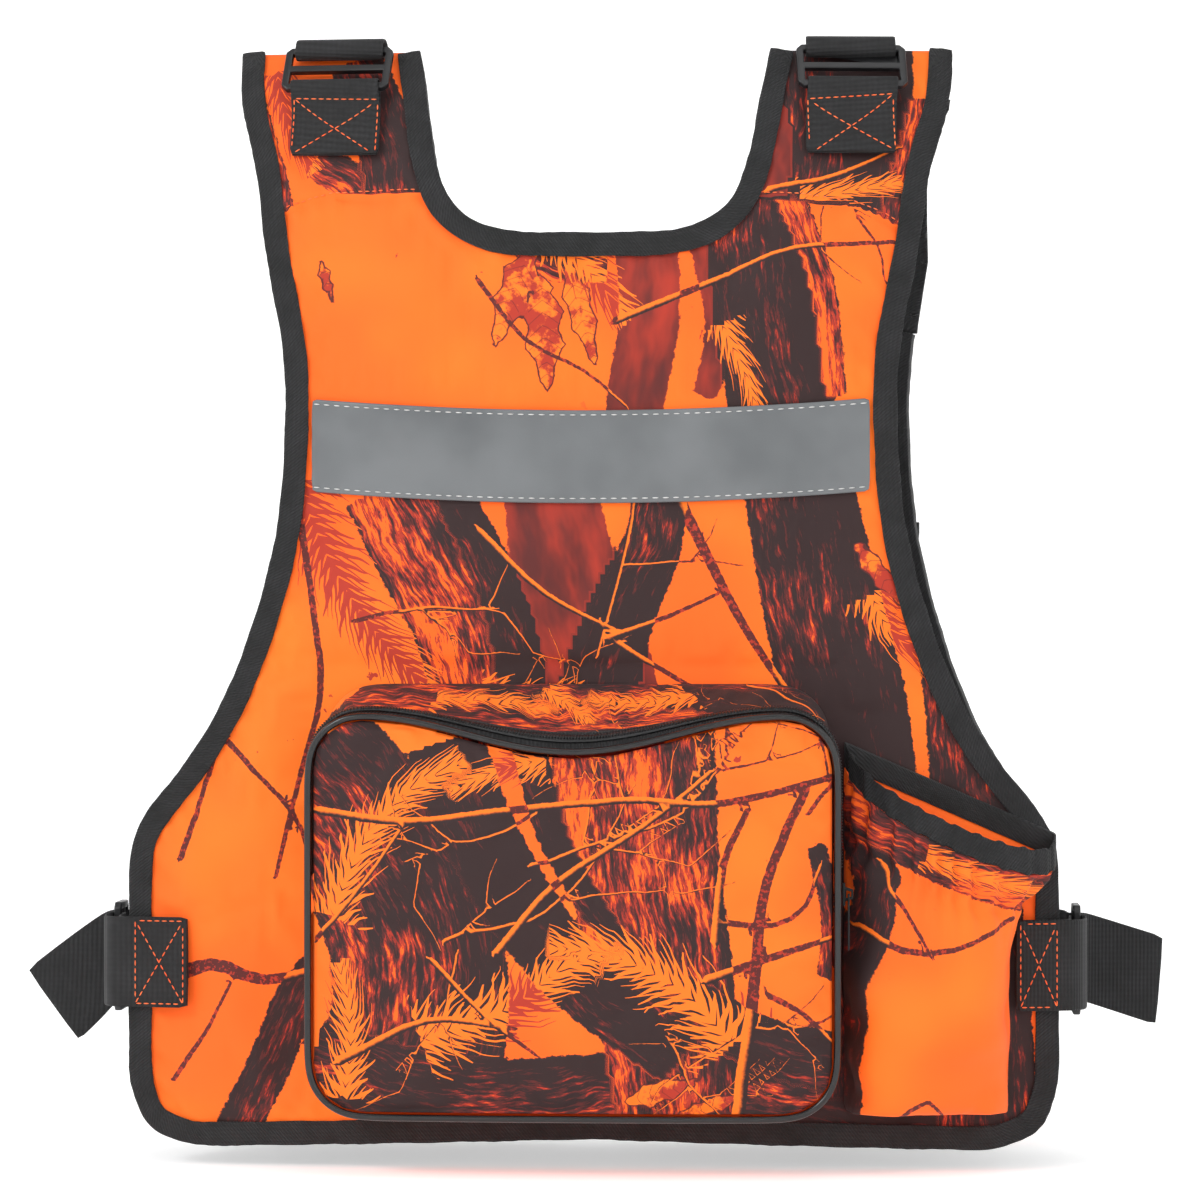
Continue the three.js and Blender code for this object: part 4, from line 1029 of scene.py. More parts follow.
@dataclass(frozen=True)
class Woodland:
    """One cut of the printed cloth: what grows where, and how many loose twigs cross it."""

    seed: int
    trunks: tuple[Trunk, ...] = ()
    sprays: tuple[Spray, ...] = ()
    leaves: tuple[Leaf, ...] = ()
    limbs: tuple[Trunk, ...] = ()
    twigs: int = 6
    twig_width: float = 1.5

    def loose_twigs(self, low: Array, high: Array) -> list[Trunk]:
        """Grows forked twigs inside a box.

        Args:
            low: the box's lowest x and z, in metres.
            high: its highest.

        Returns:
            The twigs.
        """
        rng = np.random.default_rng(self.seed)
        out: list[Trunk] = []

        def grow(spot: Array, heading: float, length: float, width: float, depth: int) -> None:
            """Grows one twig and its forks."""
            line = [tuple(spot)]
            for _ in range(max(3, int(length / TWIG_STEP))):
                heading += rng.normal(0, 0.16)
                spot = spot + TWIG_STEP * np.array([math.cos(heading), math.sin(heading)])
                line.append(tuple(spot))
                if depth and rng.random() < 0.34:
                    fork = heading + rng.choice([-1, 1]) * rng.uniform(0.5, 1.0)
                    grow(spot, fork, length * rng.uniform(0.25, 0.5), width * 0.62, depth - 1)
            out.append(Trunk(tuple(line), width, width * 0.35))

        for _ in range(self.twigs):
            spot = rng.uniform(low, high) / MM
            heading, length = rng.uniform(0, math.tau), rng.uniform(60, 150)
            grow(spot, heading, length, self.twig_width * rng.uniform(0.7, 1.5), 2)
        return out

    def nearest_trunk(
        self, points: Array, trunks: list[Trunk] | tuple[Trunk, ...], layered: bool
    ) -> dict[str, Array]:
        """Measures points against trunks or twigs.

        Args:
            points: N by 2, in metres.
            trunks: the trunks or twigs.
            layered: True where a later one lies over an earlier one, False where the nearer one counts.

        Returns:
            By name: edge, the distance outside every trunk; and for the trunk that counts there, run
            along it, off and gap, the signed and plain distances from its middle, half and tone.
        """
        found = {name: np.full(len(points), HIDDEN) for name in ("edge", "run", "off", "gap", "tone")}
        found["half"] = np.full(len(points), 0.1 * MM)
        low, high = points.min(axis=0) - 0.03, points.max(axis=0) + 0.03
        for number, trunk in enumerate(trunks):
            line = rounded(np.array(trunk.line) * MM, 0.012)
            if (line.max(axis=0) < low).any() or (line.min(axis=0) > high).any():
                continue
            gap, run, signed = nearest(points, line)
            total = float(np.linalg.norm(np.diff(line, axis=0), axis=1).sum())
            half = MM / 2 * (trunk.start + (trunk.end - trunk.start) * run / total)
            past = np.maximum(
                np.where(run < 1e-6, (points - line[0]) @ unit(line[0] - line[1]), -HIDDEN),
                np.where(run > total - 1e-6, (points - line[-1]) @ unit(line[-1] - line[-2]), -HIDDEN),
            )
            edge = np.maximum(gap - half, past)
            top = (edge < found["edge"]) | (layered & (edge < 0))
            found["edge"] = np.minimum(found["edge"], edge)
            grain = run + number * GRAIN_SHIFT
            measured = {"run": grain, "off": signed, "gap": gap, "half": half, "tone": trunk.tone}
            for name, values in measured.items():
                found[name] = np.where(top, values, found[name])
        return found

    def measure(self, points: Array) -> dict[str, Array]:
        """Measures points against everything printed.

        Args:
            points: N by 2, in metres.

        Returns:
            The numbers that the printed cloth's material reads, by name.
        """
        trunk = self.nearest_trunk(points, self.trunks, layered=True)
        limb = self.nearest_trunk(points, self.limbs, layered=False)
        loose = self.loose_twigs(points.min(axis=0), points.max(axis=0))
        twig = self.nearest_trunk(points, loose, layered=False)
        spray, spray_s, spray_t = (np.full(len(points), HIDDEN) for _ in range(3))
        for one in self.sprays:
            gap, run, signed = nearest(points, rounded(np.array(one.stem) * MM, 0.01))
            scale = NEEDLE_REACH / one.reach / (1.15 - 0.6 * run / run.max())
            past = (run < 1e-6) | (run > run.max() - 1e-6)
            closer = (gap * scale < spray) & ~past
            spray = np.where(closer, gap * scale, spray)
            spray_s, spray_t = np.where(closer, run, spray_s), np.where(closer, signed * scale, spray_t)
        leaf, leaf_s = np.full(len(points), HIDDEN), np.zeros(len(points))
        for blade in self.leaves:
            foot, tip = np.array(blade.foot) * MM, np.array(blade.tip) * MM
            size = float(np.linalg.norm(tip - foot))
            ahead = unit(tip - foot)
            away = points - foot
            s, t = away @ ahead, np.abs(away @ np.array([-ahead[1], ahead[0]]))
            share = np.clip(s / size, 0, 1)
            lobes = 1 - 0.34 * np.abs(np.sin(3.4 * math.pi * share)) * (share > 0.12)
            inside = t - blade.half * MM * np.sin(math.pi * share**0.8) * lobes
            inside = np.where((s < 0) | (s > size), np.maximum(inside, 0.002), inside)
            closer = inside < leaf
            leaf, leaf_s = np.where(closer, inside, leaf), np.where(closer, s - 0.8 * t, leaf_s)
        turn = np.clip(trunk["off"] / trunk["half"], -1.5, 1.5)
        return {
            "bark": trunk["edge"], "grain_s": trunk["run"], "grain_t": trunk["off"], "turn": turn,
            "tone": trunk["tone"], "twig": twig["gap"], "twig_t": twig["off"], "twig_w": twig["half"],
            "limb": limb["gap"], "limb_t": limb["off"], "limb_w": limb["half"],
            "spray": spray, "spray_s": spray_s, "spray_t": spray_t, "leaf": leaf, "leaf_s": leaf_s,
        }

    def print_on(self, obj: bpy.types.Object, u: Array, v: Array) -> None:
        """Prints the woodland on a piece by its flat places."""
        for name, values in self.measure(np.stack([u, v], axis=1)).items():
            store(obj, name, values)


# ---------------------------------------------------------------- dressing


def body_of(node: str) -> str:
    """The body that a CAD node rides on."""
    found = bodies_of(frame["nodes"][node])
    return found if isinstance(found, str) else found[0]


def dress(
    obj: bpy.types.Object,
    nodes: tuple[str, ...],
    material: bpy.types.Material,
    body: str | None = None,
) -> bpy.types.Object:
    """Gives a piece its material and its body, and hides the CAD nodes that it stands for.

    Args:
        obj: the piece.
        nodes: the CAD nodes it stands for.
        material: its material.
        body: the body it rides on, or None for its first node's.

    Returns:
        The piece.
    """
    obj.data.materials.clear()
    obj.data.materials.append(material)
    if nodes:
        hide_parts(*nodes)
    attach(obj, body or body_of(nodes[0]))
    log.info("%s: %d faces", obj.name, len(obj.data.polygons))
    return obj


def tape_pucker(along: Array) -> Array:
    """The uneven little rises that stitching leaves along a binding."""
    uneven = 0.6 + 0.4 * np.sin(along * 83)
    fine = 0.00015 * np.sin(along * 690 + 2.5 * np.sin(along * 71)) * uneven
    return fine + 0.0002 * np.sin(along * 170 + 1)


def thicken(obj: bpy.types.Object, thickness: float) -> None:
    """Gives a sheet a thickness behind its face."""
    wall = obj.modifiers.new("wall", "SOLIDIFY")
    wall.thickness = thickness
    wall.offset = -1.0


@dataclass
class Stitching:
    """A row of stitches of one thread."""

    name: str
    material: bpy.types.Material
    long: float = 0.0030
    gap: float = 0.0013
    thick: float = 0.0008
    mesh: bmesh.types.BMesh = field(default_factory=bmesh.new)

    def run(self, path: Array, out: Array) -> None:
        """Sews along a path.

        Args:
            path: M by 3 points on the cloth.
            out: M by 3 unit vectors off the cloth.
        """
        length = np.concatenate([[0.0], np.cumsum(np.linalg.norm(np.diff(path, axis=0), axis=1))])
        pitch = self.long + self.gap
        count = int(length[-1] / pitch)
        for k in range(count):
            spots = (k * pitch + self.gap / 2, k * pitch + self.gap / 2 + self.long)
            a, b = (Vector([float(np.interp(s, length, path[:, c])) for c in range(3)]) for s in spots)
            up = Vector([float(np.interp(spots[0], length, out[:, c])) for c in range(3)]).normalized()
            ahead = (b - a).normalized()
            across = ahead.cross(up).normalized()
            axes = (ahead * self.long * 0.56, across * self.thick / 2, up * self.thick * 0.42)
            turn = Matrix(axes).transposed()
            middle = (a + b) / 2 + up * self.thick * 0.15
            bmesh.ops.create_icosphere(
                self.mesh, subdivisions=1, radius=1.0, matrix=Matrix.Translation(middle) @ turn.to_4x4()
            )

    def on_cloth(self, cloth: bpy.types.Object, line: Line | Array, step: float = 0.002) -> None:
        """Sews along straight runs between x and z corners, on the face of a cloth on the back.

        Args:
            cloth: the piece that is sewn.
            line: the corners.
            step: spacing of the places where the cloth is felt for.
        """
        bpy.context.view_layer.update()
        corners = np.array(line, float)
        for a, b in zip(corners, corners[1:]):
            count = max(2, round(float(np.linalg.norm(b - a)) / step) + 1)
            x, z = np.linspace(a[0], b[0], count), np.linspace(a[1], b[1], count)
            starts, out = BACK.at(x, z, 0.05), BACK.normal(x, z)
            felt = [cloth.ray_cast(Vector(spot), Vector(-away)) for spot, away in zip(starts, out)]
            kept = [k for k, hit in enumerate(felt) if hit[0]]
            if len(kept) > 1:
                self.run(np.array([felt[k][1] for k in kept]), out[kept])

    def box_and_cross(
        self, cloth: bpy.types.Object, low: tuple[float, float], high: tuple[float, float], tilt: float = 0.0
    ) -> None:
        """Sews a box with a cross in it.

        Args:
            cloth: the piece that is sewn.
            low: the box's lowest x and z.
            high: its highest.
            tilt: how far the box is turned, in radians.
        """
        middle = np.array([(low[0] + high[0]) / 2, (low[1] + high[1]) / 2])
        half = np.array([(high[0] - low[0]) / 2, (high[1] - low[1]) / 2])
        turn = np.array([[math.cos(tilt), -math.sin(tilt)], [math.sin(tilt), math.cos(tilt)]])
        a, b, c, d = ((turn @ (half * np.array(s))) + middle for s in ((-1, -1), (1, -1), (1, 1), (-1, 1)))
        for ends in ((a, b), (b, c), (c, d), (d, a), (a, c), (b, d)):
            self.on_cloth(cloth, np.array(ends))

    def done(self, body: str, slot: str = "camo_cloth") -> bpy.types.Object:
        """Finishes the row and rides it on a body."""
        obj = adopt(self.mesh, self.name)
        return dress(obj, (), self.material, body)


@dataclass(frozen=True)
class Strip:
    """Where the reflective tape runs round the chest. It sags a little between the armholes."""

    top: float = -0.190
    foot: float = -0.240
    drop: float = 0.008
    reach: float = 0.165

    def sag(self, x: Array) -> Array:
        """How far the tape hangs below its ends at each x."""
        return self.drop * (1 - (x / self.reach) ** 2)

    def rim(self, x: Array, z: Array) -> Array:
        """How far points on the tape lie from its nearer edge."""
        level = z + self.sag(x)
        return np.minimum(level - self.foot, self.top - level)


STRIP = Strip()


# ---------------------------------------------------------------- back panel


@dataclass
class BackPanel:
    """The padded back: printed shell over foam, mesh lining, twill binding and a reflective strip."""

    pitch: float = 0.010
    shell: float = 0.0036
    lining: float = 0.0009
    seam_left: Line = ((-0.178, -0.097), (-0.143, -0.084), (-0.092, -0.082))
    seam_right: Line = ((0.086, -0.084), (0.141, -0.089), (0.172, -0.104))
    settling: Settling = Settling(0.5, 0.010, 0.0030)
    below: Woodland = Woodland(
        seed=11,
        trunks=(
            Trunk(((30, -92), (32, -150), (24, -200), (28, -240)), 34, 30, -1.0),
            Trunk(((-22, -236), (-10, -300), (4, -345), (8, -420)), 50, 74, -1.0),
            Trunk(((176, -210), (196, -330), (206, -420), (214, -600)), 30, 58, 0.30),
            Trunk(((40, -228), (34, -270), (16, -310), (2, -360)), 26, 44, 0.12),
            Trunk(((60, -96), (70, -150), (62, -190)), 20, 13, -1.0),
            Trunk(((-104, -236), (-86, -272), (-62, -318), (-46, -400)), 62, 62, 0.56),
            Trunk(((-78, -236), (-54, -280), (-38, -330), (-34, -400)), 20, 30, 0.0),
            Trunk(((88, -70), (92, -140), (104, -200), (122, -290), (140, -390), (146, -600)), 48, 84, 0.16),
            Trunk(((106, -80), (124, -130), (132, -190)), 16, 12, 0.66),
            Trunk(((-196, -596), (-172, -548), (-158, -514), (-130, -486), (-90, -470)), 24, 22, 0.26),
            Trunk(((-34, -106), (-18, -118), (8, -116)), 20, 26, 0.34),
            Trunk(((-40, -580), (30, -590), (110, -584), (180, -600)), 26, 40, 0.20),
        ),
        limbs=(
            Trunk(((44, -236), (58, -266), (84, -316), (112, -358)), 6.5, 3.2),
            Trunk(((-160, -240), (-150, -300), (-146, -350), (-158, -400), (-170, -450)), 4.4, 2.2),
            Trunk(((-242, -512), (-206, -498), (-176, -506), (-140, -498)), 9, 4),
            Trunk(((-222, -440), (-206, -390), (-190, -350)), 3.4, 1.8),
            Trunk(((-202, -372), (-176, -398), (-156, -424), (-148, -470)), 3.4, 1.6),
            Trunk(((14, -150), (60, -132), (110, -112), (164, -108)), 4, 2.2),
            Trunk(((-60, -262), (-24, -296), (18, -318)), 4, 2),
            Trunk(((10, -320), (44, -308), (70, -296)), 3.2, 1.6),
            Trunk(((14, -322), (50, -344), (74, -356)), 3.4, 1.6),
            Trunk(((26, -226), (20, -270), (4, -330)), 2.4, 1.6),
            Trunk(((-226, -560), (-206, -530), (-190, -500)), 3, 1.4),
            Trunk(((-60, -128), (-34, -160), (-4, -176), (20, -196)), 2.6, 1.4),
        ),
        sprays=(
            Spray(((-158, -236), (-142, -276), (-116, -316), (-84, -352)), 24),
            Spray(((-20, -104), (2, -126), (22, -152)), 20),
            Spray(((150, -296), (162, -318), (186, -336)), 16),
            Spray(((-60, -352), (-30, -356), (0, -350)), 18),
            Spray(((70, -150), (84, -180), (90, -200)), 13),
        ),
        leaves=(
            Leaf((-30, -108), (-52, -166), 12),
            Leaf((-26, -126), (-22, -190), 13),
            Leaf((-12, -118), (4, -176), 9),
            Leaf((-146, -116), (-138, -142), 4),
            Leaf((142, -268), (170, -306), 7),
        ),
        twigs=10,
        twig_width=1.7,
    )
    left_strap: Woodland = Woodland(
        seed=23,
        trunks=(
            Trunk(((-150, -62), (-124, -78), (-96, -96)), 20, 26, 0.46),
            Trunk(((-132, -6), (-116, -40), (-102, -96)), 30, 34, 0.36),
            Trunk(((-184, -30), (-172, -70), (-166, -96)), 8, 14, 0.5),
        ),
        sprays=(Spray(((-176, -10), (-166, -44), (-150, -70)), 14),),
        twigs=5,
    )
    right_strap: Woodland = Woodland(
        seed=29,
        trunks=(
            Trunk(((126, 4), (128, -50), (118, -96)), 96, 84, 0.22),
            Trunk(((94, -20), (100, -60), (92, -96)), 16, 20, -1.0),
            Trunk(((182, -30), (166, -100)), 20, 26, 0.5),
        ),
        limbs=(Trunk(((96, -80), (130, -72), (166, -56)), 4, 2),),
        sprays=(Spray(((112, -86), (140, -80), (170, -76)), 13),),
        twigs=6,
    )

    def __post_init__(self) -> None:
        """Finds the panel's outline."""
        ring = outline("back_shell", BACK)
        self.ring = np.concatenate([ring, ring[:1]])

    def seam_rise(self, u: Array, v: Array) -> Array:
        """The groove and the small puckers along the two yoke seams."""
        rise = np.zeros_like(u)
        for line in (self.seam_left, self.seam_right):
            gap, along, signed = nearest(np.stack([u, v], axis=1), rounded(np.array(line), 0.004))
            groove = -0.0013 * np.exp(-((gap / 0.0026) ** 2))
            rise += groove + 0.0009 * np.exp(-(((signed - 0.005) / 0.004) ** 2))
            rise += 0.0004 * np.exp(-gap / 0.012) * np.sin(along * math.tau / 0.013)
        return rise

    def seam_level(self, u: Array) -> Array:
        """The height of the yoke seams at each u."""
        left, right = np.array(self.seam_left), np.array(self.seam_right)
        return np.where(u < 0, np.interp(u, left[:, 0], left[:, 1]), np.interp(u, right[:, 0], right[:, 1]))

    def rise(self, u: Array, v: Array) -> Array:
        """How far the sewn cloth stands off the flat panel: soft waves, and puckers by its seams.

        Args:
            u: across the panel.
            v: up the panel.

        Returns:
            The rise at each place.
        """
        rim = nearest(np.stack([u, v], axis=1), self.ring)[0]
        free = np.clip((rim - 0.010) / 0.02, 0, 1)
        pucker = 0.0005 * np.exp(-(((rim - 0.016) / 0.007) ** 2)) * np.sin(math.tau * (u + v) / 0.017)
        waves = ripples(u, v, 5, 0.11, 0.0014) + ripples(u, v, 6, 0.045, 0.0005)
        return waves * free + pucker + self.seam_rise(u, v)

    def sewn_down(self, u: Array, v: Array) -> Array:
        """True where the strip, a pocket or a strap holds the shell down."""
        middle = (STRIP.top + STRIP.foot) / 2
        strip = np.abs(v + STRIP.sag(u) - middle) < 0.032
        pockets = ((np.abs(u + 0.007) < 0.143) & (v < -0.335)) | ((u > 0.130) & (v < -0.360))
        boxes = (np.abs(np.abs(u) - 0.140) < 0.028) & (v > -0.068)
        ends = (np.abs(u) > 0.212) & (np.abs(v + 0.497) < 0.028)
        return strip | pockets | boxes | ends

    def cut_shell(self) -> bpy.types.Object:
        """The printed shell over its pad.

        Returns:
            The padded panel.
        """
        obj = cut_cloth("back_shell", BACK, "back_panel", self.pitch)
        divide(obj, 1)
        held = (rim_distance(obj) < HEM) | self.sewn_down(read(obj, "u"), read(obj, "v"))
        self.settling.run(obj, held)
        divide(obj, 1)
        u, v = read(obj, "u"), read(obj, "v")
        level = self.seam_level(u)
        shift = np.where(np.abs(level - v) < self.pitch / 8 + 0.0001, level - v, 0.0)
        v = v + shift
        store(obj, "v", v)
        points = coords(obj) + normals(obj) * self.rise(u, v)[:, None]
        points[:, 2] += shift
        move(obj, points)
        points = np.stack([u, v], axis=1)
        printed = self.below.measure(points)
        above = v > level + 0.0001
        for strap, half in ((self.left_strap, u < 0), (self.right_strap, u >= 0)):
            here = above & half
            for name, values in strap.measure(points).items():
                printed[name] = np.where(here, values, printed[name])
        for name, values in printed.items():
            store(obj, name, values)
        thicken(obj, self.shell)
        dress(obj, ("back_shell", "back_pad"), CAMO)
        return obj

    def cut_lining(self) -> bpy.types.Object:
        """The mesh lining inside, bulging a little between its seams."""
        obj = cut_cloth("back_lining", BACK, "back_mesh_lining", self.pitch, outer=False)
        divide(obj, 1)
        u, v = read(obj, "u"), read(obj, "v")
        free = np.clip((rim_distance(obj) - 0.012) / 0.03, 0, 1)
        move(obj, coords(obj) + normals(obj) * ((ripples(u, v, 8, 0.09, 0.0008)) * free)[:, None])
        thicken(obj, self.lining)
        dress(obj, ("back_lining",), LINING)
        return obj

    def bind(self, node: str, name: str, line: Array) -> bpy.types.Object:
        """A twill binding, lightly puckered by its stitches.

        Args:
            node: the CAD binding.
            name: the piece's name.
            line: the edge that it covers.

        Returns:
            The binding.
        """
        obj = refine(node, name, 3, 50, 0.55)
        follow(obj, line, BACK)
        move(obj, coords(obj) + normals(obj) * tape_pucker(read(obj, "along"))[:, None])
        return dress(obj, (node,), TWILL)

    def lay_strip(self) -> bpy.types.Object:
        """The reflective strip across the chest."""
        obj = refine("back_reflective_strip", "back_reflective_band", 3, 50, 0.9)
        x, z, _ = BACK.flat(coords(obj))
        store(obj, "rim", STRIP.rim(x, z))
        move(obj, coords(obj) + BACK.normal(x, z) * self.rise(x, z)[:, None])
        return dress(obj, ("back_reflective_strip",), SILVER)

    def sew(self, shell: bpy.types.Object) -> None:
        """The seams: orange along the yokes, white along the strip.

        Args:
            shell: the printed shell.
        """
        yoke = Stitching("yoke_stitches", ORANGE_THREAD, 0.0026, 0.0012, 0.0007)
        for line in (self.seam_left, self.seam_right):
            yoke.on_cloth(shell, rounded(np.array(line), 0.02) + np.array([0.0, 0.0034]))
        yoke.done("back")
        white = Stitching("reflective_stitches", WHITE_THREAD, 0.0034, 0.0022, 0.0007)
        for edge in (STRIP.top - 0.0025, STRIP.foot + 0.0025):
            x = np.arange(-0.150, 0.1501, 0.003)
            z = edge - STRIP.sag(x)
            white.run(BACK.at(x, z, 0.0062 + self.rise(x, z)), BACK.normal(x, z))
        white.done("back", "reflective_tape")

    def build(self) -> None:
        """Builds the back panel."""
        shell = self.cut_shell()
        self.cut_lining()
        line = rounded(self.ring, 0.006)
        self.bind("back_edge_binding", "back_edge_twill", line)
        self.bind("back_neck_binding", "back_neck_twill", line)
        self.lay_strip()
        self.sew(shell)


# ---------------------------------------------------------------- back pocket


@dataclass
class BackPocket:
    """The zipped cargo pocket: printed walls and face, glossy piping and a black coil zip."""

    pitch: float = 0.010
    cloth: float = 0.0011
    face_share: float = 0.97  # of its box that the face, rounded at its corners, fills
    coil_pitch: float = 0.0016
    coil_turn: tuple[float, float, float] = (0.0006, 0.0013, 0.0026)  # half sizes along, out and across
    centre: tuple[float, float] = (-0.007, -0.460)
    settling: Settling = Settling(2.2, 0.022, 0.0075)
    face: Woodland = Woodland(
        seed=41,
        trunks=(
            Trunk(((-150, -380), (-104, -440), (-84, -500), (-96, -590)), 84, 96, 0.34),
            Trunk(((-140, -548), (-60, -566), (40, -560), (130, -570)), 50, 44, 0.30),
            Trunk(((24, -366), (30, -440), (40, -500), (50, -590)), 84, 62, 0.58),
            Trunk(((-72, -376), (-50, -430), (-10, -492), (50, -540)), 40, 34, -0.1),
            Trunk(((-30, -372), (-14, -430), (20, -486), (44, -520)), 18, 10, 0.1),
            Trunk(((46, -508), (90, -534), (140, -548)), 24, 34, 0.08),
            Trunk(((118, -430), (126, -470), (124, -500)), 10, 12, 0.3),
        ),
        limbs=(
            Trunk(((-138, -412), (-90, -418), (-40, -412), (20, -406), (70, -408), (132, -392)), 4.4, 3.4),
            Trunk(((-44, -486), (-14, -450), (30, -420), (64, -392)), 4.4, 2.6),
            Trunk(((78, -575), (86, -500), (92, -450), (112, -400)), 7, 4.4),
            Trunk(((66, -480), (70, -440), (82, -412)), 5, 3),
            Trunk(((70, -470), (96, -472), (112, -462), (120, -440)), 3.4, 1.8),
            Trunk(((-126, -545), (-80, -522), (-36, -526)), 5, 2.4),
            Trunk(((62, -500), (96, -488), (128, -478)), 5, 2.6),
            Trunk(((92, -508), (110, -518), (128, -536)), 3.4, 2),
            Trunk(((-138, -480), (-112, -450), (-92, -420)), 3, 2),
            Trunk(((-78, -490), (-50, -520), (-24, -540)), 3, 1.6),
        ),
        sprays=(
            Spray(((-130, -470), (-114, -432), (-90, -402), (-60, -386)), 20),
            Spray(((-84, -532), (-40, -516), (-8, -492), (20, -486)), 24),
            Spray(((76, -536), (50, -506), (10, -486), (-20, -484)), 25),
            Spray(((-124, -566), (-120, -530), (-126, -490)), 17),
            Spray(((-20, -384), (-48, -392), (-70, -402)), 14),
        ),
        leaves=(Leaf((20, -566), (60, -552), 8), Leaf((46, -574), (84, -560), 6)),
        twigs=9,
        twig_width=1.7,
    )
    wall: Woodland = Woodland(
        seed=47,
        trunks=(
            Trunk(((-150, -330), (-60, -326), (40, -330), (160, -338)), 62, 66, 0.46),
            Trunk(((50, -318), (90, -340), (160, -352)), 30, 42, 0.12),
            Trunk(((-158, -340), (-166, -400), (-160, -440)), 40, 24, 0.1),
            Trunk(((150, -360), (168, -430), (160, -500)), 60, 50, 0.16),
        ),
        limbs=(Trunk(((110, -318), (128, -340), (140, -366)), 5, 4),),
        sprays=(
            Spray(((-96, -334), (-60, -328), (-20, -334)), 18),
            Spray(((70, -324), (34, -330), (0, -322)), 20),
            Spray(((-30, -310), (-8, -330), (4, -350)), 16),
        ),
        twigs=8,
    )

    def lay_face(self) -> bpy.types.Object:
        """The pocket's face, pushed out by what it holds and puckered along its piping.

        Returns:
            The face.
        """
        obj = cut_cloth("back_pocket_face", BACK, "pocket_face", self.pitch)
        divide(obj, 1)
        self.settling.run(obj, rim_distance(obj) < 0.002)
        divide(obj, 1)
        u, v = read(obj, "u"), read(obj, "v")
        rim = rim_distance(obj)
        free = np.clip(rim / 0.03, 0, 1)
        turn = np.arctan2(v - self.centre[1], u - self.centre[0])
        wave = np.sin(turn * 46 + 2 * np.sin(turn * 3))
        pucker = 0.0007 * np.exp(-rim / 0.012) * wave * np.clip(rim / 0.004, 0, 1)
        rise = ripples(u, v, 61, 0.075, 0.0016) * free + ripples(u, v, 62, 0.035, 0.0006) * free + pucker
        move(obj, coords(obj) + normals(obj) * rise[:, None])
        self.face.print_on(obj, u, v)
        thicken(obj, self.cloth)
        dress(obj, ("back_pocket_face",), CAMO)
        return obj

    def lay_wall(self, node: str, name: str, woodland: Woodland, rise: float) -> bpy.types.Object:
        """One of the pocket's walls, slack and gathered.

        Args:
            node: the CAD wall.
            name: the piece's name.
            woodland: what is printed on it.
            rise: the height of its folds.

        Returns:
            The wall.
        """
        obj = refine(node, name, 3, 50, 0.8)
        points = coords(obj)
        x, z, lift = BACK.flat(points)
        turn = np.arctan2(z - self.centre[1], x - self.centre[0])
        top = np.clip((z - self.centre[1] - 0.05) / 0.05, 0, 1)
        low, high = lift.min(), lift.max()
        between = np.sin(np.pi * np.clip((lift - low) / (high - low), 0, 1))
        fold = np.sin(turn * 58 + 3 * np.sin(turn * 5)) * (0.35 + 0.65 * top) * between
        out = np.stack([np.cos(turn), np.zeros_like(turn), np.sin(turn)], axis=1)
        waves = ripples(x + lift, z, 71, 0.05, rise * 0.6) * between
        move(obj, points + out * (rise * fold + waves)[:, None])
        woodland.print_on(obj, x + np.cos(turn) * (0.045 - lift), z + np.sin(turn) * (0.045 - lift))
        return dress(obj, (node,), CAMO)

    def ring(self, obj: bpy.types.Object, step: float) -> Array:
        """The middle line of a piece that runs round the pocket.

        Args:
            obj: the piece.
            step: spacing of the line's points.

        Returns:
            M by 3 points, anticlockwise.
        """
        points = coords(obj)
        x, z, _ = BACK.flat(points)
        turn = np.mod(np.arctan2(z - self.centre[1], x - self.centre[0]) + math.pi / 2, math.tau)
        order = np.argsort(turn)
        bins = np.array_split(order, max(24, len(order) // 60))
        line = np.array([points[b].mean(axis=0) for b in bins])
        return rounded(line, step)

    def lay_piping(self) -> None:
        """Glossy piping round the face."""
        obj = refine("back_pocket_piping", "pocket_piping", 2, 80, 0.0)
        dress(obj, ("back_pocket_piping",), VINYL)

    def zip_up(self) -> None:
        """The zip's tape, its coil of separate turns, its two end tabs, its slider and its pull."""
        tape = refine("back_pocket_zip_tape", "pocket_zip_tape", 2, 50, 0.9)
        x, z, lift = BACK.flat(coords(tape))
        store(tape, "along", x + z)
        store(tape, "across", lift)
        dress(tape, ("back_pocket_zip_tape",), TWILL)
        core = refine("back_pocket_zip_coil", "pocket_zip_coil", 2, 50, 0.4)
        path = self.ring(core, self.coil_pitch)
        length, height, width = self.coil_turn
        turns = bmesh.new()
        turns.from_mesh(core.data)
        inward = np.array([self.centre[0], 0.0, self.centre[1]])
        for spot, after in zip(path[:-1], path[1:]):
            ahead = Vector(after - spot).normalized()
            out = Vector(spot) - Vector(inward)
            out.y = 0
            out = (out - out.dot(ahead) * ahead).normalized()
            basis = Matrix((ahead * length, out * height, ahead.cross(out) * width)).transposed()
            place = Matrix.Translation(Vector(spot) + out * length) @ basis.to_4x4()
            bmesh.ops.create_icosphere(turns, subdivisions=1, radius=1.0, matrix=place)
        turns.to_mesh(core.data)
        turns.free()
        core.data.shade_smooth()
        dress(core, ("back_pocket_zip_coil",), COIL)
        for side in ("left", "right"):
            tab = refine("back_pocket_zip_tab_" + side, "pocket_zip_end_" + side, 2, 50, 0.7)
            _, z, lift = BACK.flat(coords(tab))
            store(tab, "along", z)
            store(tab, "across", lift)
            dress(tab, ("back_pocket_zip_tab_" + side,), TWILL)
        for name in ("pocket_zip_slider", "pocket_zip_pull"):
            node = "back_" + name
            dress(moulded(node, name, 0.0003), (node,), METAL)

    def build(self) -> None:
        """Builds the pocket."""
        self.lay_wall("back_pocket_gusset", "pocket_gusset", self.wall, 0.0012)
        self.lay_wall("back_pocket_lower_wall", "pocket_face_band", self.wall, 0.0004)
        self.lay_face()
        self.lay_piping()
        self.zip_up()


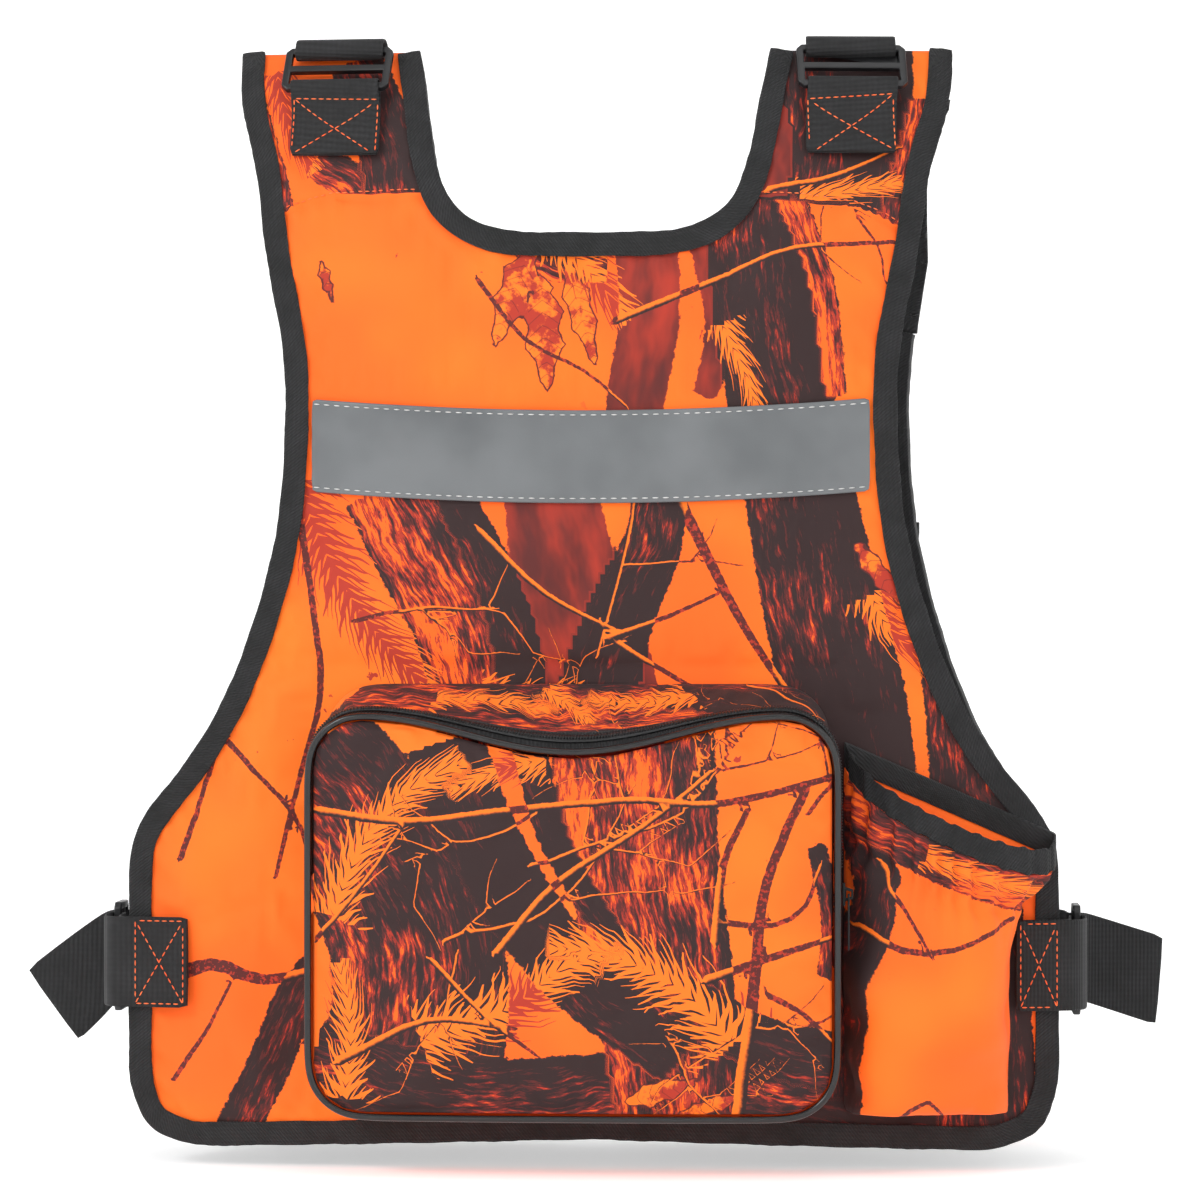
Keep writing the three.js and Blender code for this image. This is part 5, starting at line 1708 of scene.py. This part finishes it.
# ---------------------------------------------------------------- bottle pocket


@dataclass
class BottlePocket:
    """The open bottle pocket: a gathered printed tube under a slanted twill rim."""

    foot: float = -0.575
    rim_left: tuple[float, float] = (0.136, -0.389)
    slope: float = 0.44
    lean: float = 0.75
    gathers: int = 26  # folds in a full turn round the pocket
    middle: float = 0.182
    half_width: float = 0.046
    seam_lift: float = 0.0066  # how far off the side the pocket's seams lie
    woodland: Woodland = Woodland(
        seed=53,
        trunks=(
            Trunk(((142, -408), (150, -450), (140, -500), (136, -580)), 26, 12, 0.16),
            Trunk(
                ((136, -400), (150, -418), (170, -432), (193, -443), (230, -455), (254, -457)),
                24, 24, 0.56,
            ),
            Trunk(((232, -450), (236, -500), (228, -580)), 10, 12, 0.40),
        ),
        limbs=(
            Trunk(((140, -474), (160, -486), (190, -486), (222, -470)), 4, 2),
            Trunk(((150, -440), (166, -470), (176, -490)), 3, 1.6),
            Trunk(((160, -578), (176, -566), (184, -574)), 3, 1.4),
        ),
        sprays=(Spray(((174, -436), (204, -448), (244, -458)), 10),),
        twigs=0,
    )

    def share(self, x: Array, z: Array, out: Array) -> Array:
        """How far up the pocket points lie, 0 at its foot and 1 at its rim."""
        rim = self.rim_left[1] - self.slope * (x - self.rim_left[0]) - self.lean * out
        return (z - self.foot) / (rim - self.foot)

    def lay_tube(self) -> bpy.types.Object:
        """The tube, bulging over its foot and gathered in folds under the rim.

        Returns:
            The tube.
        """
        obj = refine("bottle_pocket", "bottle_pocket_cloth", 3, 75, 0.5)
        points = coords(obj)
        x, z, lift = BACK.flat(points)
        out = np.maximum(lift - self.seam_lift, 0)
        share = self.share(x, z, out)
        across = x - self.middle
        turn = np.arctan2(out / 0.03, across / self.half_width)
        away = np.stack([across, -np.maximum(out - 0.006, 0.0), np.zeros_like(x)], axis=1)
        away /= np.maximum(np.linalg.norm(away, axis=1, keepdims=True), 1e-6)
        loose = np.clip(out / 0.008, 0, 1)
        frill = np.exp(-(((1 - share) / 0.22) ** 2)) * np.clip((1 - share) / 0.03, 0, 1)
        folds = np.sin(turn * self.gathers + 2.2 * np.sin(turn * 4) + 3 * share)
        band = np.exp(-(((1 - share - 0.17) / 0.035) ** 2))
        body = np.clip((0.9 - share) / 0.2, 0, 1) * np.clip(share / 0.08, 0, 1)
        sags = ripples(turn * 0.03, z, 81, 0.055, 0.0022) + ripples(turn * 0.03 + z, z, 82, 0.03, 0.0008)
        rise = loose * (frill * 0.0026 * folds - 0.0036 * band + body * sags)
        move(obj, points + away * rise[:, None])
        inside = (normals(obj) * away).sum(axis=1) < -0.2
        self.woodland.print_on(obj, x, z)
        for name in ("bark", "twig", "limb", "leaf", "spray"):
            store(obj, name, np.where(inside, HIDDEN, read(obj, name)))
        return dress(obj, ("bottle_pocket",), CAMO)

    def bind_rim(self) -> bpy.types.Object:
        """The twill tape round the mouth."""
        obj = refine("bottle_pocket_rim_tape", "bottle_pocket_rim", 3, 50, 0.5)
        points = coords(obj)
        x, z, lift = BACK.flat(points)
        turn = np.arctan2(lift - 0.022, (x - 0.193) * 0.4)
        store(obj, "along", turn * 0.045)
        store(obj, "across", z + self.slope * x)
        wave = 0.0006 * np.sin(turn * 17) + 0.0004 * np.sin(turn * 31 + 1)
        move(obj, points + normals(obj) * (wave * np.clip((lift - 0.0075) / 0.006, 0, 1))[:, None])
        return dress(obj, ("bottle_pocket_rim_tape",), TWILL)

    def build(self) -> None:
        """Builds the bottle pocket."""
        self.lay_tube()
        self.bind_rim()


# ---------------------------------------------------------------- straps


@dataclass
class Straps:
    """Shoulder and side webbing with its moulded three-bar sliders and boxes of orange stitches."""

    box_width: float = 0.046
    box_height: float = 0.029
    shoulder_box: float = -0.0465
    shoulder_boxes: tuple = (("left", -0.140, -0.02), ("right", 0.140, 0.05))  # middle and tilt
    side_z: float = -0.497
    side_tall: float = 0.0225
    side_boxes: tuple = (("left", -0.2465, -0.220), ("right", 0.230, 0.2495))  # lowest and highest x

    def strap(self, node: str, name: str, material: bpy.types.Material) -> bpy.types.Object:
        """One length of webbing."""
        return dress(refine(node, name, 2, 60, 0.9), (node,), material)

    def build(self) -> None:
        """Builds the straps, then sews them."""
        sewn: dict[str, bpy.types.Object] = {}
        for side in ("left", "right"):
            name = "shoulder_webbing_back_" + side
            sewn["up_" + side] = self.strap("back_shoulder_web_" + side, name, WEB_UP)
            self.strap("front_shoulder_web_" + side, "shoulder_webbing_front_" + side, WEB_UP)
            sewn["out_" + side] = self.strap("side_loop_" + side, "side_webbing_loop_" + side, WEB_LEVEL)
            self.strap("side_strap_" + side, "side_webbing_" + side, WEB_LEVEL)
            for node, name in (("shoulder_slider_", "shoulder_buckle_"), ("side_slider_", "side_buckle_")):
                dress(moulded(node + side, name + side, 0.0009), (node + side,), PLASTIC)
        boxes = Stitching("strap_box_stitches", ORANGE_THREAD, 0.0031, 0.0011, 0.0008)
        half, tall = self.box_width / 2, self.box_height / 2
        for side, middle, tilt in self.shoulder_boxes:
            low = (middle - half, self.shoulder_box - tall)
            high = (middle + half, self.shoulder_box + tall)
            boxes.box_and_cross(sewn["up_" + side], low, high, tilt)
        for side, low_x, high_x in self.side_boxes:
            low, high = (low_x, self.side_z - self.side_tall), (high_x, self.side_z + self.side_tall)
            boxes.box_and_cross(sewn["out_" + side], low, high)
        boxes.done("back", "webbing")


# ---------------------------------------------------------------- fronts


@dataclass
class FrontHalf:
    """One front: a yoke on the shoulder and a door with its pocket, zip edge and waist webbing."""

    name: str
    sign: float
    seed: int
    pitch: float = 0.010
    turn_from: float = -0.150
    turn_to: float = -0.225
    yoke: float = 0.0056
    yoke_binding: float = 0.0075
    shell: float = 0.0024
    lining: float = 0.0010
    tooth_pitch: float = 0.0030
    tooth_height: float = 0.0017
    tooth_cord: tuple[float, float] = (0.0016, 0.0018)

    def __post_init__(self) -> None:
        """Chooses what is printed on this half."""
        s, n = self.sign, self.seed

        def flip(*points: tuple[float, float]) -> Line:
            """Mirrors points on the left half."""
            return tuple((s * x, z) for x, z in points)

        self.body = "front_" + self.name
        self.door_print = Woodland(
            seed=n,
            trunks=(
                Trunk(flip((60, -180), (70, -300), (52, -420), (60, -600)), 26, 40, 0.26),
                Trunk(flip((150, -240), (158, -330), (196, -440), (210, -600)), 30, 46, 0.14),
                Trunk(flip((20, -560), (90, -586), (180, -580)), 24, 30, 0.3),
            ),
            limbs=(
                Trunk(flip((30, -300), (90, -330), (150, -322)), 4, 2),
                Trunk(flip((96, -270), (120, -350)), 3, 1.6),
            ),
            sprays=(
                Spray(flip((100, -250), (112, -290), (108, -336)), 21),
                Spray(flip((30, -400), (36, -450)), 15),
            ),
            leaves=(Leaf(flip((118, -330))[0], flip((130, -376))[0], 10),),
            twigs=6,
        )
        self.yoke_print = Woodland(
            seed=n + 1,
            trunks=(Trunk(flip((120, 0), (126, -70), (112, -150)), 34, 46, 0.2),),
            sprays=(Spray(flip((170, -30), (160, -80), (150, -120)), 18),),
            twigs=3,
        )
        self.pocket_print = Woodland(
            seed=n + 2,
            trunks=(
                Trunk(flip((80, -390), (100, -450), (92, -530)), 40, 50, 0.36),
                Trunk(flip((150, -380), (176, -450), (190, -530)), 22, 30, 0.16),
            ),
            sprays=(Spray(flip((110, -500), (140, -470), (160, -430)), 22),),
            twigs=4,
        )

    def cross(self, obj: bpy.types.Object) -> None:
        """Lets a piece turn with the door below the yoke's seam."""
        obj.parent = None
        obj.matrix_world = Matrix.Identity(4)
        if "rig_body" in obj:
            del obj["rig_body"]
        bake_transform(obj, "back", self.body, start=(0, 0, self.turn_from), end=(0, 0, self.turn_to))

    def panel(
        self, node: str, name: str, woodland: Woodland, thickness: float, seed: int
    ) -> bpy.types.Object:
        """A printed front panel.

        Args:
            node: the CAD layer.
            name: the piece's name.
            woodland: what is printed on it.
            thickness: its thickness.
            seed: which ripples it has.

        Returns:
            The panel.
        """
        obj = cut_cloth(node, FRONT, name, self.pitch)
        divide(obj, 3)
        u, v = read(obj, "u"), read(obj, "v")
        rim = rim_distance(obj)
        free = np.clip((rim - 0.010) / 0.02, 0, 1)
        rise = ripples(u, v, seed, 0.10, 0.0010) * free + ripples(u, v, seed + 1, 0.04, 0.0004) * free
        move(obj, coords(obj) + normals(obj) * rise[:, None])
        woodland.print_on(obj, u, v)
        thicken(obj, thickness)
        return dress(obj, (node,), CAMO)

    def lay_cloth(self) -> None:
        """The yoke, the door's shell and its mesh lining."""
        side = self.name
        node = "front_yoke_" + side
        yoke = self.panel(node, "yoke_front_" + side, self.yoke_print, self.yoke, self.seed + 3)
        node = "front_shell_" + side
        shell = self.panel(node, "door_shell_" + side, self.door_print, self.shell, self.seed + 5)
        self.cross(shell)
        lining = cut_cloth("front_lining_" + side, FRONT, "door_lining_" + side, self.pitch, outer=False)
        divide(lining, 1)
        thicken(lining, self.lining)
        dress(lining, ("front_lining_" + side,), LINING)
        self.cross(lining)

    def bind(self) -> None:
        """The twill binding round the door and the reflective strip across it."""
        node = "front_edge_binding_" + self.name
        obj = refine(node, "door_twill_" + self.name, 3, 50, 0.55)
        ring = outline("front_shell_" + self.name, FRONT)
        follow(obj, rounded(np.concatenate([ring, ring[:1]]), 0.006), FRONT)
        move(obj, coords(obj) + normals(obj) * tape_pucker(read(obj, "along"))[:, None])
        dress(obj, (node,), TWILL)
        self.cross(obj)
        node = "front_reflective_strip_" + self.name
        strip = refine(node, "door_reflective_band_" + self.name, 3, 50, 0.9)
        x, z, _ = FRONT.flat(coords(strip))
        store(strip, "rim", STRIP.rim(x, z))
        dress(strip, (node,), SILVER)
        self.cross(strip)

    def bind_yoke(self) -> None:
        """Twill folded over the yoke's neck and armhole edges."""
        obj = cut_cloth("front_yoke_" + self.name, FRONT, "yoke_twill_" + self.name, self.pitch)
        divide(obj, 3)
        store(obj, "rim", rim_distance(obj, upright=True))
        bm = bmesh.new()
        bm.from_mesh(obj.data)
        layer = bm.verts.layers.float["rim"]
        inner = [f for f in bm.faces if sum(v[layer] for v in f.verts) > HEM * len(f.verts)]
        bmesh.ops.delete(bm, geom=inner, context="FACES")
        bm.to_mesh(obj.data)
        bm.free()
        rim, u, v = read(obj, "rim"), read(obj, "u"), read(obj, "v")
        away = np.sign(u - np.median(u)) * np.clip(1 - rim / 0.002, 0, 1) * 0.0012
        store(obj, "along", v)
        store(obj, "across", rim)
        points = coords(obj) + normals(obj) * (0.0008 + tape_pucker(v + u))[:, None]
        points[:, 0] += away
        points[:, 2] -= 0.0022 * np.clip(1 - (v - v.min()) / 0.004, 0, 1)
        move(obj, points)
        thicken(obj, self.yoke_binding)
        dress(obj, (), TWILL, "back")

    def pocket(self) -> None:
        """The bellows pocket and its flap."""
        side = self.name
        for kind, rise in (("pocket_", 0.003), ("pocket_flap_", 0.001)):
            node = "front_" + kind + side
            obj = refine(node, "chest_" + kind + side, 4, 50, 0.75)
            points = coords(obj)
            x, z, lift = FRONT.flat(points)
            outer = np.clip((lift - 0.030) / 0.004, 0, 1)
            low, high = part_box(node)
            across = np.sin(np.pi * np.clip((x - low.x) / (high.x - low.x), 0, 1))
            waves = ripples(x, z, self.seed + 9, 0.05, 0.0008)
            if kind == "pocket_":
                up = np.sin(np.pi * np.clip((z - low.z) / (high.z - low.z), 0, 1))
                wave = (rise * across * up + waves) * outer * np.clip(1 - (z + 0.440) / 0.02, 0, 1)
            else:
                wave = np.abs((rise * across + waves) * outer) + 0.0005 * outer
            move(obj, points + FRONT.normal(x, z) * wave[:, None])
            self.pocket_print.print_on(obj, x, z)
            dress(obj, (node,), CAMO)

    def fasten(self) -> None:
        """The open zip's tape and teeth on this edge, and the waist webbing."""
        tape = refine("front_zip_tape_" + self.name, "zip_tape_" + self.name, 3, 50, 0.9)
        x, z, _ = FRONT.flat(coords(tape))
        store(tape, "along", z)
        store(tape, "across", x)
        dress(tape, ("front_zip_tape_" + self.name,), TWILL)
        self.cross(tape)
        node = "front_zip_teeth_" + self.name
        low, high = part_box(node)
        teeth = bmesh.new()
        middle, length = (low + high) / 2, high.z - low.z
        scale = Matrix.Diagonal((high.x - low.x, high.y - low.y, self.tooth_height, 1.0))
        for k in range(int(length / self.tooth_pitch)):
            spot = Vector((middle.x, middle.y, low.z + (k + 0.5) * self.tooth_pitch))
            made = bmesh.ops.create_cube(teeth, size=1.0, matrix=Matrix.Translation(spot) @ scale)
            edges = list({e for v in made["verts"] for e in v.link_edges})
            bmesh.ops.bevel(
                teeth, geom=edges, offset=0.0003, segments=1, profile=0.5, affect="EDGES", material=-1
            )
        cord = Matrix.Translation(middle) @ Matrix.Diagonal((*self.tooth_cord, length, 1.0))
        bmesh.ops.create_cube(teeth, size=1.0, matrix=cord)
        obj = adopt(teeth, "zip_teeth_" + self.name)
        dress(obj, (node,), COIL)
        self.cross(obj)
        web = refine("waist_web_" + self.name, "waist_webbing_" + self.name, 2, 60, 0.9)
        dress(web, ("waist_web_" + self.name,), WEB_LEVEL)

    def build(self) -> None:
        """Builds this front."""
        self.lay_cloth()
        self.bind_yoke()
        self.bind()
        self.pocket()
        self.fasten()


@dataclass
class Fastenings:
    """The small hard parts of the front: zip box, slider and pull, waist buckle and D-ring."""

    parts: tuple[tuple[str, str, float], ...] = (
        ("front_zip_box", "zip_box", 0.0006),
        ("front_zip_slider", "zip_slider", 0.0003),
        ("front_zip_pull", "zip_pull", 0.0003),
        ("waist_buckle_socket", "waist_buckle_female", 0.0008),
        ("waist_buckle_plug", "waist_buckle_male", 0.0006),
        ("d_ring", "ring", 0.0006),
    )

    def build(self) -> None:
        """Builds the hard parts and the ring's tab."""
        for node, name, radius in self.parts:
            metal = "zip" in node and "box" not in node
            material, slot = (METAL, "zip_metal") if metal else (PLASTIC, "buckle_plastic")
            dress(moulded(node, name, radius), (node,), material)
        dress(refine("d_ring_tab", "ring_tab", 2, 60, 0.9), ("d_ring_tab",), WEB_UP)


# ---------------------------------------------------------------- studio


@dataclass
class Studio:
    """A pale floor, soft light and a camera level with the middle of the vest's back."""

    view_width: float = 0.654
    distance: float = 2.6
    azimuth: float = 3.0
    aim: tuple[float, float, float] = (0.004, -0.040, -0.3)
    floor_gap: float = 0.002
    floor_radius: float = 12.0
    pale: tuple = (0.93, 0.93, 0.93, 1.0)
    floor_fold: float = 2.5
    floor_glow: float = 0.40
    surround: float = 0.46
    lamps: tuple = (
        ("key", (-1.7, -1.8, 1.3), 0.9, 24.0),
        ("fill", (1.7, -2.3, 0.1), 1.8, 5.0),
        ("top", (0.2, -0.6, 1.9), 1.4, 8.0),
    )

    def lay_floor(self) -> None:
        """A round pale floor that curves up all round the vest, far behind the lamps and the camera."""
        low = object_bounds()[0]
        bm = bmesh.new()
        bmesh.ops.create_circle(bm, cap_ends=True, radius=self.floor_radius, segments=64)
        fold = bm.edges[:]
        raised = bmesh.ops.extrude_edge_only(bm, edges=fold)
        lifted = [v for v in raised["geom"] if isinstance(v, bmesh.types.BMVert)]
        bmesh.ops.translate(bm, verts=lifted, vec=(0, 0, self.floor_radius))
        bmesh.ops.bevel(
            bm, geom=fold, offset=self.floor_fold, segments=12, profile=0.5, affect="EDGES", material=-1
        )
        bmesh.ops.translate(bm, verts=bm.verts[:], vec=(0, 0, low.z - self.floor_gap))
        bmesh.ops.recalc_face_normals(bm, faces=bm.faces[:])
        floor_face = max(bm.faces, key=lambda f: f.calc_area())
        if floor_face.normal.z < 0:
            bmesh.ops.reverse_faces(bm, faces=bm.faces[:])
        floor = adopt(bm, "floor")
        paper = Recipe(
            "floor_paper", Base_Color=self.pale, Roughness=0.9, Emission_Strength=self.floor_glow
        )
        paper.shader.inputs["Emission Color"].default_value = self.pale
        floor.data.materials.append(paper.material)
        floor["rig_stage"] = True

    def light(self) -> None:
        """Soft lamps before and above the vest, and a white surround."""
        for name, spot, size, power in self.lamps:
            lamp = bpy.data.lights.new(name, "AREA")
            lamp.energy, lamp.size = power, size
            obj = bpy.data.objects.new(name, lamp)
            obj.location = spot
            obj.rotation_euler = (Vector(self.aim) - Vector(spot)).to_track_quat("-Z", "Y").to_euler()
            bpy.context.scene.collection.objects.link(obj)
        world = bpy.data.worlds.new("surround")
        world.use_nodes = True
        sky = world.node_tree.nodes["Background"]
        sky.inputs["Color"].default_value = (1, 1, 1, 1)
        sky.inputs["Strength"].default_value = self.surround
        bpy.context.scene.world = world

    def point(self) -> None:
        """Sets the camera, with a long lens."""
        camera = bpy.data.cameras.new("camera")
        camera.sensor_width = 36.0
        camera.lens = 36.0 * self.distance / self.view_width
        camera.clip_end = 50.0
        obj = bpy.data.objects.new("camera", camera)
        turn = math.radians(self.azimuth)
        aim = Vector(self.aim)
        obj.location = aim + Vector((math.sin(turn), -math.cos(turn), 0)) * self.distance
        obj.rotation_euler = (aim - obj.location).to_track_quat("-Z", "Y").to_euler()
        bpy.context.scene.collection.objects.link(obj)
        bpy.context.scene.camera = obj
        bpy.context.scene.view_settings.view_transform = "Standard"

    def build(self) -> None:
        """Builds the studio."""
        self.lay_floor()
        self.light()
        self.point()


def main() -> None:
    """Builds the vest and its studio."""
    logging.basicConfig(level=logging.INFO, format="%(name)s: %(message)s")
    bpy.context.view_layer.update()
    BackPanel().build()
    BackPocket().build()
    BottlePocket().build()
    Straps().build()
    FrontHalf("left", -1.0, 101).build()
    FrontHalf("right", 1.0, 131).build()
    Fastenings().build()
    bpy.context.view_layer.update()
    Studio().build()


if __name__ == "__main__":
    main()
